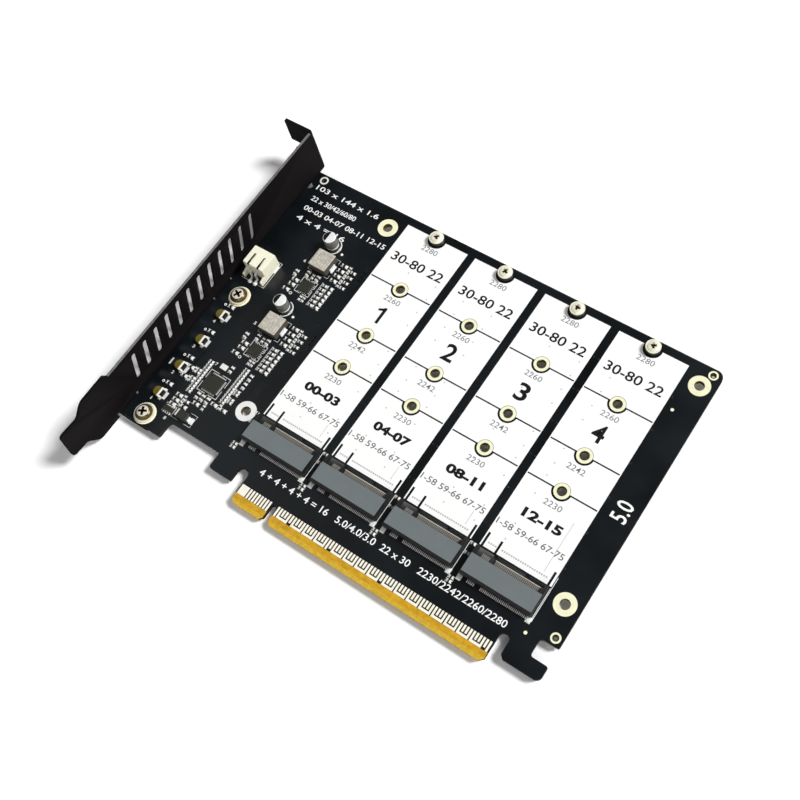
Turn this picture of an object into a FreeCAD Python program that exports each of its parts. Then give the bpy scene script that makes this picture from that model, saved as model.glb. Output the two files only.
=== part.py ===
import FreeCAD, Part
import math
import os

from FreeCAD import Vector

# Adapter card for four M.2 drives, full height, with a vented slot bracket.
#
# Frame, in millimetres: X runs along the edge connector, away from the bracket, with X = 0 at the
# middle of the key notch. Y = 0 is the lower edge of the edge connector and +Y is the top of the
# card. Z = 0 is the middle of the board and +Z is the component side.

# ---------------------------------------------------------------- driving dimensions: board
BOARD_THICKNESS = 1.57
BOARD_LEFT = -57.3
HOOK_RIGHT = 87.07
BOARD_TOP = 103.1
BOARD_TOP_RADIUS = 2.3
BOARD_CORNER_RADIUS = 0.4

TONGUE_LEFT = -12.15
TONGUE_RIGHT = 72.15
TONGUE_LEAD_IN = 1.2
TONGUE_BEVEL_DEPTH = 0.45
TONGUE_BEVEL_HEIGHT = 1.3
KEY_WIDTH = 1.9
KEY_TOP = 5.5
KEY_LEAD_IN = 1.0

LEFT_GAP_WIDTH = 3.85
LEFT_GAP_TOP = 9.9
RIGHT_GAP_WIDTH = 3.0
RIGHT_GAP_TOP = 9.6

FOOT_BOTTOM = 4.5
FOOT_RIGHT = -42.9
STEP_LEVEL = 9.8
STEP_RIGHT = -23.75
STEP_RADIUS = 1.0
TOE_BOTTOM = 4.75
TOE_RADIUS = 0.8

HOOK_BOTTOM = 3.5
HOOK_LEAD_IN = 1.0
HOOK_RADIUS = 1.75
HOOK_TIP_TOP = 8.07
HOOK_WALL = 81.6
HOOK_CEILING = 13.3
HOOK_NOTCH_RADIUS = 1.0
HOOK_TIP_RADIUS = 0.5

SIDE_NOTCH_DEPTH = 1.6
SIDE_NOTCH_BOTTOM = 96.2
SIDE_NOTCH_WIDTH = 2.2

# ---------------------------------------------------------------- driving dimensions: gold contacts
PAD_PITCH = 1.0
PAD_WIDTH = 0.62
PAD_THICKNESS = 0.05
PAD_TOP = 5.95
PAD_BOTTOM = 2.95
LINK_TOP = 3.65
SIGNAL_PAD_BOTTOM = 4.0
PRESENCE_PAD_BOTTOM = 3.6
FIRST_LONG_ROW = 1.5
SHORT_ROW_PADS = 11
LONG_ROW_PADS = 71
WIDE_PAD_PITCHES = 3
GROUP_PADS = 4
# Contacts of the long row, counted from the key, where a group starts: two signal contacts
# between ground contacts that join under them.
GROUPS_FRONT = [1, 6, 10, 14, 20, 24, 28, 32, 37, 41, 45, 49, 53, 57, 61, 65]
GROUPS_BACK = [3, 8, 12, 16, 22, 26, 30, 34, 39, 43, 47, 51, 55, 59, 63, 67]
PRESENCE_PADS = [5, 19, 36, 69]

# ---------------------------------------------------------------- driving dimensions: holes
COOLER_HOLE_RADIUS = 1.5
COOLER_HOLE_X = -25.2
COOLER_HOLE_Y = 24.0
COOLER_EDGE_RIGHT = 4.62
COOLER_EDGE_TOP = 6.8
TOOLING_HOLE_RADIUS = 0.62
TOOLING_EDGE_LEFT = 3.6
TOOLING_EDGE_RIGHT = 2.77
TOOLING_EDGE_TOP = 2.1
LOW_TOOLING_Y = 15.3
LOW_TOOLING_EDGE_RIGHT = 2.17
DRIVE_HOLE_RADIUS = 1.45

# ---------------------------------------------------------------- driving dimensions: drive lanes
LANE_COUNT = 4
LANE_PITCH = 24.93
FIRST_LANE_X = -9.05
DRIVE_STOP_Y = 20.0
SHORT_DRIVE_LENGTHS = [30.0, 42.0, 60.0]
LONG_DRIVE_LENGTH = 80.0
RIGHT_MARGIN = 21.33

# ---------------------------------------------------------------- driving dimensions: drive sockets
SOCKET_HALF_WIDTH = 11.0
SOCKET_HEIGHT = 3.2
SOCKET_BACK_Y = 16.3
SOCKET_COVER_BACK_Y = 17.0
SOCKET_COVER_FRONT_Y = 22.5
SOCKET_LIP_FRONT_Y = 25.3
SOCKET_LIP_HEIGHT = 1.15
SOCKET_LIP_RADIUS = 0.25
SOCKET_EDGE_RADIUS = 0.3
SOCKET_CHEEK_HEIGHT = 2.2
SOCKET_CHEEK_RADIUS = 0.4
SOCKET_CHEEK_TOP_REACH = 1.2
SOCKET_WALL = 0.95
SOCKET_COVER_THICKNESS = 0.2
SOCKET_COVER_INSET = 0.15
SOCKET_COVER_RADIUS = 0.2
SLOT_FLOOR = 1.35
SLOT_HEIGHT = 1.15
KEY_RIB_OFFSET = -5.15
KEY_RIB_WIDTH = 1.1
LIP_NOTCH_WIDTH = 1.2
LIP_NOTCH_DEPTH = 0.6
LIP_NOTCH_OFFSET = 4.62

CONTACT_PITCH = 0.5
CONTACT_WIDTH = 0.22
CONTACT_THICKNESS = 0.15
SHORT_GROUP_INSET = 2.65
SHORT_GROUP_CONTACTS = 5
LONG_GROUP_START = -4.2
LONG_GROUP_INSET = 1.2
TAIL_REACH = 0.7
TAB_SIZE = (1.1, 1.4, 0.2)
TAB_INSET = 0.2
TAB_Y = 15.6

# ---------------------------------------------------------------- driving dimensions: drive screws
STANDOFF_RADIUS = 2.3
STANDOFF_HEIGHT = 1.5
STANDOFF_SHANK_RADIUS = 1.7
STANDOFF_BORE_RADIUS = 1.0
DRIVE_SCREW_HEAD_RADIUS = 2.3
DRIVE_SCREW_HEAD_HEIGHT = 0.75
DRIVE_SCREW_SHANK_RADIUS = 0.92
DRIVE_SCREW_LENGTH = 2.0

# ---------------------------------------------------------------- driving dimensions: bracket
SHEET = 0.86
BRACKET_FACE_X = -58.1
BRACKET_LOW_Z = -0.9
BRACKET_HIGH_Z = 15.4
SHOULDER_HIGH_Z = 17.0
SHOULDER_TOP_Y = 8.4
SHOULDER_BOTTOM_Y = -1.2
SHOULDER_RAMP = 0.9
SHOULDER_RAMP_RADII = (0.3, 0.5)
SHOULDER_CORNER_RADIUS = 4.0
BRACKET_TOP_Y = 107.3
TAB_REACH = 10.4
TAB_HIGH_Z = 15.2
TAB_CORNER_RADIUS = 0.8
TAB_SLOT_WIDTH = 4.4
TAB_SLOT_LOW_Z = 1.7
TAB_SLOT_DEPTH = 5.6
TAB_BEND_RADIUS = 0.6
TAIL_TIP_Y = -13.6
TAIL_TIP_SLANT = 1.6
TAIL_LOW_Z = 3.9
TAIL_HIGH_Z = 14.1
TAIL_TIP_RADII = (1.5, 1.2)
TAIL_NECK_Y = -6.6
TAIL_NECK_RADIUS = 2.0
HIGH_NECK_SHIFT = (1.6, -0.5)
LOW_NECK_SHIFT = (-1.2, -0.4)
LOW_SHOULDER_Y = -5.0
LOW_SHOULDER_RADIUS = 2.5
VENT_COUNT = 12
VENT_PITCH = 5.0
VENT_WIDTH = 1.9
VENT_LOW_Z = 3.6
VENT_HIGH_Z = 13.2
VENT_FIRST_Y = 17.4
VENT_LEAN = 3.2
EAR_WIDTH = 7.5
EAR_REACH = 11.0
EAR_CORNER_RADIUS = 2.0
EAR_BEND_RADIUS = 0.4
EAR_RELIEF_WIDTH = 0.8
EAR_RELIEF_HEIGHT = 1.0
BRACKET_SCREW_X = -51.1
BRACKET_SCREW_Y = [8.0, 53.3]
BRACKET_SCREW_RADIUS = 1.4
BRACKET_SCREW_HEAD_RADIUS = 3.1
BRACKET_SCREW_HEAD_HEIGHT = 1.9
BRACKET_SCREW_LENGTH = 3.1
BRACKET_HOLE_CLEARANCE = 0.15
SCREW_EDGE_SHARE = 0.5
SCREW_CROWN_SHARE = 0.7
EAR_THREAD_CLEARANCE = 0.05

# ---------------------------------------------------------------- driving dimensions: power parts
REGULATOR_PITCH = 25.3
INDUCTOR_CENTRE = (-34.8, 50.2)
INDUCTOR_SIZE = 6.3
INDUCTOR_HEIGHT = 3.0
INDUCTOR_CHAMFER = 0.35
INDUCTOR_TERMINAL = (0.45, 2.6, 1.1)
CAN_CENTRE = (-36.3, 57.0)
CAN_RADIUS = 2.1
CAN_HEIGHT = 4.4
CAN_BASE_SIZE = 4.5
CAN_BASE_HEIGHT = 0.7
CAN_BASE_CHAMFER = 0.9
CAN_RIM = 0.3
REGULATOR_CENTRE = (-35.0, 41.0)
REGULATOR_SIZE = 3.9
CHIP_HEIGHT = 0.85
CLOCK_CENTRE = (-39.1, 25.85)
CLOCK_SIZE = 5.3

# ---------------------------------------------------------------- driving dimensions: fan header
HEADER_CENTRE_X = -50.7
HEADER_WIDTH = 7.6
HEADER_BACK_Y = 62.0
HEADER_FRONT_Y = 68.6
HEADER_HEIGHT = 5.5
HEADER_WALL = 0.75
HEADER_FOOT_REACH = 2.3
HEADER_FOOT_HEIGHT = 2.4
HEADER_FOOT_SLOPE = 0.8
HEADER_EDGE_RADIUS = 0.3
HEADER_SLIT_OFFSET = 1.82
HEADER_SLIT_WIDTH = 0.7
HEADER_SLIT_LENGTH = 4.2
HEADER_BACK_WALL = 1.6
HEADER_PIN_PITCH = 2.0
HEADER_PIN_SIZE = 0.5
HEADER_PIN_HEIGHT = 3.0
HEADER_PIN_FOOT_Y = 58.9
HEADER_PIN_TIP_GAP = 1.2
HEADER_PIN_DROP_GAP = 0.9
HEADER_PIN_BEND_RADIUS = 0.3

# ---------------------------------------------------------------- driving dimensions: small parts
LED_X = -50.5
LED_SIZE = (1.3, 3.1, 1.5)
LED_LENS_REACH = 2.15
LED_LENS_WIDTH = 3.0
LED_LENS_HEIGHT = 1.3
LED_LENS_RADIUS = 1.35
LED_LENS_GAP = 0.1
LED_Y = [15.5, 25.5, 35.45, 45.35]
LED_PART_SHIFT = (-0.5, 3.8)
DIODE_CENTRE = (-40.2, 13.1)
DIODE_SIZE = (4.3, 2.6, 2.1)
DIODE_LEAD = (1.3, 1.6, 0.25)
SMALL_CHIP_CENTRE = (-45.6, 12.7)
SMALL_CHIP_SIZE = (3.0, 1.5, 1.1)
CRYSTAL_CENTRE = (-39.7, 31.8)
CRYSTAL_SIZE = (2.6, 2.0, 0.6)
LARGE_PART = (1.6, 0.8, 0.75)
LARGE_UPRIGHT = (0.8, 1.6, 0.75)
MEDIUM_PART = (1.0, 0.55, 0.45)
MEDIUM_UPRIGHT = (0.55, 1.0, 0.45)
COLUMN_PITCH = 1.52
CLOCK_COLUMN_PITCH = 1.0
# Ceramic parts as columns: X, Y of each part, size.
REGULATOR_PARTS = [
    (-28.8, [52.9, 50.9, 48.9, 46.9], LARGE_PART),
    (-26.7, [52.7, 50.7, 48.7, 46.7], MEDIUM_UPRIGHT),
    (-25.0, [52.2, 50.2, 48.2, 46.2], MEDIUM_PART),
    (-30.1, [44.2 - COLUMN_PITCH * n for n in range(6)], MEDIUM_PART),
    (-28.1, [44.2 - COLUMN_PITCH * n for n in range(6)], LARGE_PART),
    (-40.8, [43.6], LARGE_UPRIGHT), (-39.5, [41.5, 39.7], LARGE_PART),
    (-40.1, [37.5], LARGE_PART), (-37.2, [45.0], LARGE_UPRIGHT),
    (-35.3, [45.0], MEDIUM_UPRIGHT), (-33.5, [45.0], LARGE_UPRIGHT),
    (-34.3, [37.0], MEDIUM_UPRIGHT), (-33.1, [37.0], MEDIUM_UPRIGHT)]
CLOCK_PARTS = [
    (-44.35, [31.4 - CLOCK_COLUMN_PITCH * n for n in range(12)], MEDIUM_PART),
    (-45.9, [27.4, 26.4, 24.4, 23.4], MEDIUM_PART), (-48.7, [26.9, 23.6], LARGE_PART),
    (-47.1, [26.9, 23.6], MEDIUM_UPRIGHT),
    (-33.2, [34.6 - CLOCK_COLUMN_PITCH * n for n in range(13)], MEDIUM_PART),
    (-31.2, [27.6, 26.6, 24.6, 23.6], MEDIUM_PART), (-30.7, [33.0, 30.0], LARGE_UPRIGHT),
    (-34.7, [20.7], LARGE_PART), (-32.8, [21.0], MEDIUM_UPRIGHT), (-31.2, [20.6], LARGE_PART),
    (-41.0, [20.6], LARGE_UPRIGHT), (-39.2, [20.6], LARGE_UPRIGHT), (-37.3, [20.6], LARGE_UPRIGHT),
    (-39.7, [18.2], LARGE_PART), (-37.0, [18.3], MEDIUM_UPRIGHT), (-37.4, [32.3], LARGE_UPRIGHT),
    (-45.8, [17.9, 16.2, 14.6], LARGE_PART), (-43.8, [17.9, 15.9], MEDIUM_UPRIGHT),
    (-42.5, [17.3], MEDIUM_PART), (-42.3, [15.5], LARGE_PART)]
# The same for each drive socket, with X counted from the middle of its lane.
SOCKET_PARTS = [(-12.6, [25.2, 22.2, 14.5, 13.3], MEDIUM_PART)]

BOARD_RIGHT = FIRST_LANE_X + LANE_PITCH * (LANE_COUNT - 1) + RIGHT_MARGIN
TOP = BOARD_THICKNESS / 2
UNDER = -BOARD_THICKNESS / 2


# ---------------------------------------------------------------- shape helpers
def box(x0, x1, y0, y1, z0, z1):
    return Part.makeBox(x1 - x0, y1 - y0, z1 - z0, Vector(x0, y0, z0))


def centred_box(x, y, size, bottom):
    length, width, height = size
    return box(x - length / 2, x + length / 2, y - width / 2, y + width / 2, bottom, bottom + height)


def rod(x, y, z0, z1, radius):
    return Part.makeCylinder(radius, z1 - z0, Vector(x, y, z0))


def rounded_wire(corners, place):
    """Closed wire through corners (a, b, radius); place turns a flat (a, b) into a space point."""
    starts, ends, middles = [], [], []
    count = len(corners)
    for index, (a, b, radius) in enumerate(corners):
        here = Vector(a, b, 0)
        before = Vector(corners[index - 1][0], corners[index - 1][1], 0) - here
        after = Vector(corners[(index + 1) % count][0], corners[(index + 1) % count][1], 0) - here
        before.normalize()
        after.normalize()
        half = before.getAngle(after) / 2
        back = radius / math.tan(half)
        bisector = before + after
        starts.append(here + before * back)
        ends.append(here + after * back)
        if radius:
            bisector.normalize()
            middles.append(here + bisector * (radius / math.sin(half) - radius))
        else:
            middles.append(None)
    edges = []
    for index in range(count):
        start, end, middle = starts[index], ends[index], middles[index]
        if middle is not None:
            arc = Part.Arc(place(start), place(middle), place(end))
            edges.append(arc.toShape())
        following = starts[(index + 1) % count]
        if end.distanceToPoint(following) > 1e-6:
            edges.append(Part.makeLine(place(end), place(following)))
    return Part.Wire(edges)


def slab(corners, z0, z1):
    """Plate with a rounded outline in X and Y, between two levels."""
    wire = rounded_wire(corners, lambda p: Vector(p.x, p.y, z0))
    return Part.Face(wire).extrude(Vector(0, 0, z1 - z0))


def side_profile(corners, x0, x1):
    """Bar with a rounded outline in Y and Z, between two places along X."""
    wire = rounded_wire(corners, lambda p: Vector(x0, p.x, p.y))
    return Part.Face(wire).extrude(Vector(x1 - x0, 0, 0))


def turned(x, y, profile):
    """Solid turned about the vertical at (x, y) from a closed (radius, level) profile."""
    points = [Vector(x + radius, y, level) for radius, level in profile]
    face = Part.Face(Part.makePolygon(points + points[:1]))
    return face.revolve(Vector(x, y, 0), Vector(0, 0, 1), 360)


def sharp(points):
    return [(a, b, 0) for a, b in points]


def save(name, solids):
    shapes = solids if isinstance(solids, list) else [solids]
    shape = shapes[0] if len(shapes) == 1 else Part.makeCompound(shapes)
    shape.exportStep(os.path.join("parts", name + ".step"))


# ---------------------------------------------------------------- places that repeat
def lane_centres():
    return [FIRST_LANE_X + LANE_PITCH * lane for lane in range(LANE_COUNT)]


def cooler_holes():
    return [(x, y) for x in (COOLER_HOLE_X, BOARD_RIGHT - COOLER_EDGE_RIGHT)
            for y in (COOLER_HOLE_Y, BOARD_TOP - COOLER_EDGE_TOP)]


def tooling_holes():
    high = BOARD_TOP - TOOLING_EDGE_TOP
    return [(BOARD_LEFT + TOOLING_EDGE_LEFT, high), (BOARD_RIGHT - TOOLING_EDGE_RIGHT, high),
            (BOARD_RIGHT - LOW_TOOLING_EDGE_RIGHT, LOW_TOOLING_Y)]


def drive_holes():
    return [(x, DRIVE_STOP_Y + length) for x in lane_centres() for length in SHORT_DRIVE_LENGTHS]


def standoff_places():
    return [(x, DRIVE_STOP_Y + LONG_DRIVE_LENGTH) for x in lane_centres()]


def regulator_shifts():
    return [0, REGULATOR_PITCH]


# ---------------------------------------------------------------- circuit board
def board_outline():
    left_gap_right = TONGUE_LEFT
    left_gap_left = left_gap_right - LEFT_GAP_WIDTH
    right_gap_right = TONGUE_RIGHT + RIGHT_GAP_WIDTH
    half_key = KEY_WIDTH / 2
    notch_end = BOARD_LEFT + SIDE_NOTCH_DEPTH
    notch_top = SIDE_NOTCH_BOTTOM + SIDE_NOTCH_WIDTH
    foot = [(BOARD_LEFT, FOOT_BOTTOM, BOARD_CORNER_RADIUS),
            (FOOT_RIGHT, FOOT_BOTTOM, BOARD_CORNER_RADIUS),
            (FOOT_RIGHT, STEP_LEVEL, STEP_RADIUS),
            (STEP_RIGHT, STEP_LEVEL, BOARD_CORNER_RADIUS),
            (STEP_RIGHT, TOE_BOTTOM, TOE_RADIUS),
            (left_gap_left, TOE_BOTTOM, BOARD_CORNER_RADIUS)]
    left_gap = [(left_gap_left, LEFT_GAP_TOP, LEFT_GAP_WIDTH / 2),
                (left_gap_right, LEFT_GAP_TOP, LEFT_GAP_WIDTH / 2)]
    tongue = sharp([(TONGUE_LEFT, TONGUE_LEAD_IN), (TONGUE_LEFT + TONGUE_LEAD_IN, 0),
                    (-half_key - KEY_LEAD_IN, 0), (-half_key, KEY_LEAD_IN)])
    tongue += [(-half_key, KEY_TOP, half_key), (half_key, KEY_TOP, half_key)]
    tongue += sharp([(half_key, KEY_LEAD_IN), (half_key + KEY_LEAD_IN, 0),
                     (TONGUE_RIGHT - TONGUE_LEAD_IN, 0), (TONGUE_RIGHT, TONGUE_LEAD_IN)])
    right_gap = [(TONGUE_RIGHT, RIGHT_GAP_TOP, RIGHT_GAP_WIDTH / 2),
                 (right_gap_right, RIGHT_GAP_TOP, RIGHT_GAP_WIDTH / 2)]
    hook = [(right_gap_right, HOOK_BOTTOM + HOOK_LEAD_IN, 0),
            (right_gap_right + HOOK_LEAD_IN, HOOK_BOTTOM, 0),
            (HOOK_RIGHT, HOOK_BOTTOM, HOOK_RADIUS),
            (HOOK_RIGHT, HOOK_TIP_TOP, HOOK_TIP_RADIUS),
            (HOOK_WALL, HOOK_TIP_TOP, HOOK_NOTCH_RADIUS),
            (HOOK_WALL, HOOK_CEILING, HOOK_NOTCH_RADIUS),
            (BOARD_RIGHT, HOOK_CEILING, HOOK_TIP_RADIUS)]
    top = [(BOARD_RIGHT, BOARD_TOP, BOARD_TOP_RADIUS),
           (BOARD_LEFT, BOARD_TOP, BOARD_CORNER_RADIUS)]
    side_notch = [(BOARD_LEFT, notch_top, BOARD_CORNER_RADIUS),
                  (notch_end, notch_top, SIDE_NOTCH_WIDTH / 2),
                  (notch_end, SIDE_NOTCH_BOTTOM, SIDE_NOTCH_WIDTH / 2),
                  (BOARD_LEFT, SIDE_NOTCH_BOTTOM, BOARD_CORNER_RADIUS)]
    return foot + left_gap + tongue + right_gap + hook + top + side_notch


def tongue_bevels():
    """Wedges that thin both faces of the tongue towards its lower edge."""
    wedges = []
    for side in (-1, 1):
        face = side * TOP
        corners = sharp([(0, face), (0, face - side * TONGUE_BEVEL_DEPTH), (TONGUE_BEVEL_HEIGHT, face)])
        wedges.append(side_profile(corners, TONGUE_LEFT, TONGUE_RIGHT))
    return wedges


def circuit_board():
    board = slab(board_outline(), UNDER, TOP)
    holes = [rod(x, y, UNDER, TOP, COOLER_HOLE_RADIUS) for x, y in cooler_holes()]
    holes += [rod(x, y, UNDER, TOP, TOOLING_HOLE_RADIUS) for x, y in tooling_holes()]
    holes += [rod(x, y, UNDER, TOP, DRIVE_HOLE_RADIUS) for x, y in drive_holes()]
    holes += [rod(x, y, UNDER, TOP, STANDOFF_SHANK_RADIUS) for x, y in standoff_places()]
    screw_hole = BRACKET_SCREW_RADIUS + BRACKET_HOLE_CLEARANCE
    holes += [rod(BRACKET_SCREW_X, y, UNDER, TOP, screw_hole) for y in BRACKET_SCREW_Y]
    return board.cut(holes + tongue_bevels())


# ---------------------------------------------------------------- gold contacts of the edge connector
def edge_pads(side):
    """Row of contacts on one face: a wide first contact, single ones and groups of four."""
    level = TOP if side > 0 else UNDER - PAD_THICKNESS
    high = level + PAD_THICKNESS
    half = PAD_WIDTH / 2
    group_starts = GROUPS_FRONT if side > 0 else GROUPS_BACK
    short_places = PRESENCE_PADS if side > 0 else []

    def pad(x, bottom=PAD_BOTTOM):
        return box(x - half, x + half, bottom, PAD_TOP, level, high)

    def group(first):
        last = first + PAD_PITCH * (GROUP_PADS - 1)
        link = box(first - half, last + half, PAD_BOTTOM, LINK_TOP, level, high)
        ground = link.fuse([pad(first), pad(last)]).removeSplitter()
        return [ground] + [pad(first + PAD_PITCH * n, SIGNAL_PAD_BOTTOM)
                           for n in range(1, GROUP_PADS - 1)]

    short_row = [-FIRST_LONG_ROW - PAD_PITCH * n for n in range(SHORT_ROW_PADS)]
    wide = short_row[-WIDE_PAD_PITCHES:]
    pads = [pad(x) for x in short_row[:-WIDE_PAD_PITCHES]]
    pads.append(box(wide[-1] - half, wide[0] + half, PAD_BOTTOM, PAD_TOP, level, high))
    number = 0
    while number < LONG_ROW_PADS:
        first = FIRST_LONG_ROW + PAD_PITCH * number
        if number in group_starts:
            pads += group(first)
            number += GROUP_PADS
        else:
            pads.append(pad(first, PRESENCE_PAD_BOTTOM if number in short_places else PAD_BOTTOM))
            number += 1
    return pads


# ---------------------------------------------------------------- slot bracket
def bracket_outline():
    """Flat outline in Y and Z of the plate, its shoulder and its tail."""
    plate_top = BRACKET_TOP_Y - SHEET - TAB_BEND_RADIUS
    ramp_low, ramp_high = SHOULDER_RAMP_RADII
    tip_high, tip_low = TAIL_TIP_RADII
    return [(plate_top, BRACKET_LOW_Z, 0),
            (plate_top, BRACKET_HIGH_Z, 0),
            (SHOULDER_TOP_Y + SHOULDER_RAMP, BRACKET_HIGH_Z, ramp_low),
            (SHOULDER_TOP_Y, SHOULDER_HIGH_Z, ramp_high),
            (SHOULDER_BOTTOM_Y, SHOULDER_HIGH_Z, SHOULDER_CORNER_RADIUS),
            (TAIL_NECK_Y + HIGH_NECK_SHIFT[0], TAIL_HIGH_Z + HIGH_NECK_SHIFT[1], TAIL_NECK_RADIUS),
            (TAIL_TIP_Y + TAIL_TIP_SLANT, TAIL_HIGH_Z, tip_high),
            (TAIL_TIP_Y, TAIL_LOW_Z, tip_low),
            (TAIL_NECK_Y + LOW_NECK_SHIFT[0], TAIL_LOW_Z + LOW_NECK_SHIFT[1], TAIL_NECK_RADIUS),
            (LOW_SHOULDER_Y, BRACKET_LOW_Z, LOW_SHOULDER_RADIUS)]


def vent(y):
    """Round-ended slot through the plate that leans towards the top of the card."""
    radius = VENT_WIDTH / 2
    rise = VENT_HIGH_Z - VENT_LOW_Z
    length = math.hypot(rise, VENT_LEAN)
    half = length / 2
    straight = half - radius
    wire = Part.Wire([
        Part.makeLine(Vector(0, -radius, -straight), Vector(0, -radius, straight)),
        Part.Arc(Vector(0, -radius, straight), Vector(0, 0, half), Vector(0, radius, straight)).toShape(),
        Part.makeLine(Vector(0, radius, straight), Vector(0, radius, -straight)),
        Part.Arc(Vector(0, radius, -straight), Vector(0, 0, -half), Vector(0, -radius, -straight)).toShape()])
    slot = Part.Face(wire).extrude(Vector(-SHEET, 0, 0))
    lean = math.degrees(math.atan2(VENT_LEAN, rise))
    slot.rotate(Vector(0, 0, 0), Vector(1, 0, 0), -lean)
    slot.translate(Vector(BRACKET_FACE_X, y, (VENT_LOW_Z + VENT_HIGH_Z) / 2))
    return slot


def mounting_tab():
    """Tab bent outwards over the slot rail, with its open screw slot."""
    outer_x = BRACKET_FACE_X - SHEET
    bend_x = outer_x - TAB_BEND_RADIUS
    low_y = BRACKET_TOP_Y - SHEET
    end_x = outer_x - TAB_REACH
    slot_middle = TAB_SLOT_LOW_Z + TAB_SLOT_WIDTH / 2
    slot_x = end_x + TAB_SLOT_DEPTH - TAB_SLOT_WIDTH / 2
    flat = box(end_x, bend_x, low_y, BRACKET_TOP_Y, BRACKET_LOW_Z, TAB_HIGH_Z)
    corner = [edge for edge in flat.Edges
              if abs(edge.BoundBox.XLength) < 1e-6 and abs(edge.BoundBox.ZLength) < 1e-6
              and abs(edge.CenterOfMass.x - end_x) < 1e-6]
    flat = flat.makeFillet(TAB_CORNER_RADIUS, corner)
    mouth = box(end_x, slot_x, low_y, BRACKET_TOP_Y, TAB_SLOT_LOW_Z, TAB_SLOT_LOW_Z + TAB_SLOT_WIDTH)
    seat = Part.makeCylinder(TAB_SLOT_WIDTH / 2, SHEET, Vector(slot_x, low_y, slot_middle), Vector(0, 1, 0))
    bend = quarter_bend(bend_x, low_y - TAB_BEND_RADIUS, TAB_BEND_RADIUS, TAB_HIGH_Z)
    return flat.cut([mouth, seat]).fuse(bend)


def quarter_bend(x, y, inner, high_z):
    """Quarter tube about a line along Z that joins the plate to the tab."""
    outer = Part.makeCylinder(inner + SHEET, high_z - BRACKET_LOW_Z, Vector(x, y, BRACKET_LOW_Z),
                              Vector(0, 0, 1), 90)
    core = Part.makeCylinder(inner, high_z - BRACKET_LOW_Z, Vector(x, y, BRACKET_LOW_Z))
    return outer.cut(core)


def ear(y):
    """Lug bent under the board that takes one bracket screw."""
    centre_x = BRACKET_FACE_X + EAR_BEND_RADIUS
    centre_z = UNDER + EAR_BEND_RADIUS
    low = y - EAR_WIDTH / 2
    high = y + EAR_WIDTH / 2
    end_x = BRACKET_FACE_X + EAR_REACH
    outer = Part.makeCylinder(EAR_BEND_RADIUS + SHEET, EAR_WIDTH, Vector(centre_x, low, centre_z),
                              Vector(0, 1, 0))
    core = Part.makeCylinder(EAR_BEND_RADIUS, EAR_WIDTH, Vector(centre_x, low, centre_z), Vector(0, 1, 0))
    reach = EAR_BEND_RADIUS + SHEET
    quadrant = box(centre_x - reach, centre_x, low, high, centre_z - reach, centre_z)
    bend = outer.common(quadrant).cut(core)
    lug = slab([(centre_x, low, 0), (end_x, low, EAR_CORNER_RADIUS), (end_x, high, EAR_CORNER_RADIUS),
                (centre_x, high, 0)], UNDER - SHEET, UNDER)
    hole = rod(BRACKET_SCREW_X, y, UNDER - SHEET, UNDER, BRACKET_SCREW_RADIUS + EAR_THREAD_CLEARANCE)
    return bend.fuse(lug.cut(hole))


def ear_cuts(y):
    """Stock taken from the plate's lower edge for an ear's bend and its two relief notches."""
    bend_level = UNDER + EAR_BEND_RADIUS
    relief_top = bend_level + EAR_RELIEF_HEIGHT
    low = y - EAR_WIDTH / 2
    high = y + EAR_WIDTH / 2
    x0 = BRACKET_FACE_X - SHEET
    x1 = BRACKET_FACE_X
    return [box(x0, x1, low, high, BRACKET_LOW_Z, bend_level),
            box(x0, x1, low - EAR_RELIEF_WIDTH, low, BRACKET_LOW_Z, relief_top),
            box(x0, x1, high, high + EAR_RELIEF_WIDTH, BRACKET_LOW_Z, relief_top)]


def bracket():
    plate = side_profile(bracket_outline(), BRACKET_FACE_X - SHEET, BRACKET_FACE_X)
    cuts = [vent(VENT_FIRST_Y + VENT_PITCH * n) for n in range(VENT_COUNT)]
    for y in BRACKET_SCREW_Y:
        cuts += ear_cuts(y)
    plate = plate.cut(cuts)
    return plate.fuse([mounting_tab()] + [ear(y) for y in BRACKET_SCREW_Y]).removeSplitter()


def pan_screw(x, y, seat, head_radius, head_height, shank_radius, length):
    """Pan head screw seated at one level and pointing down."""
    edge = seat + head_height * SCREW_EDGE_SHARE
    crown = seat + head_height
    return turned(x, y, [(0, seat - length), (shank_radius, seat - length), (shank_radius, seat),
                         (head_radius, seat), (head_radius, edge),
                         (head_radius * SCREW_CROWN_SHARE, crown), (0, crown)])


def bracket_screws():
    return [pan_screw(BRACKET_SCREW_X, y, TOP, BRACKET_SCREW_HEAD_RADIUS, BRACKET_SCREW_HEAD_HEIGHT,
                      BRACKET_SCREW_RADIUS, BRACKET_SCREW_LENGTH) for y in BRACKET_SCREW_Y]


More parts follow.
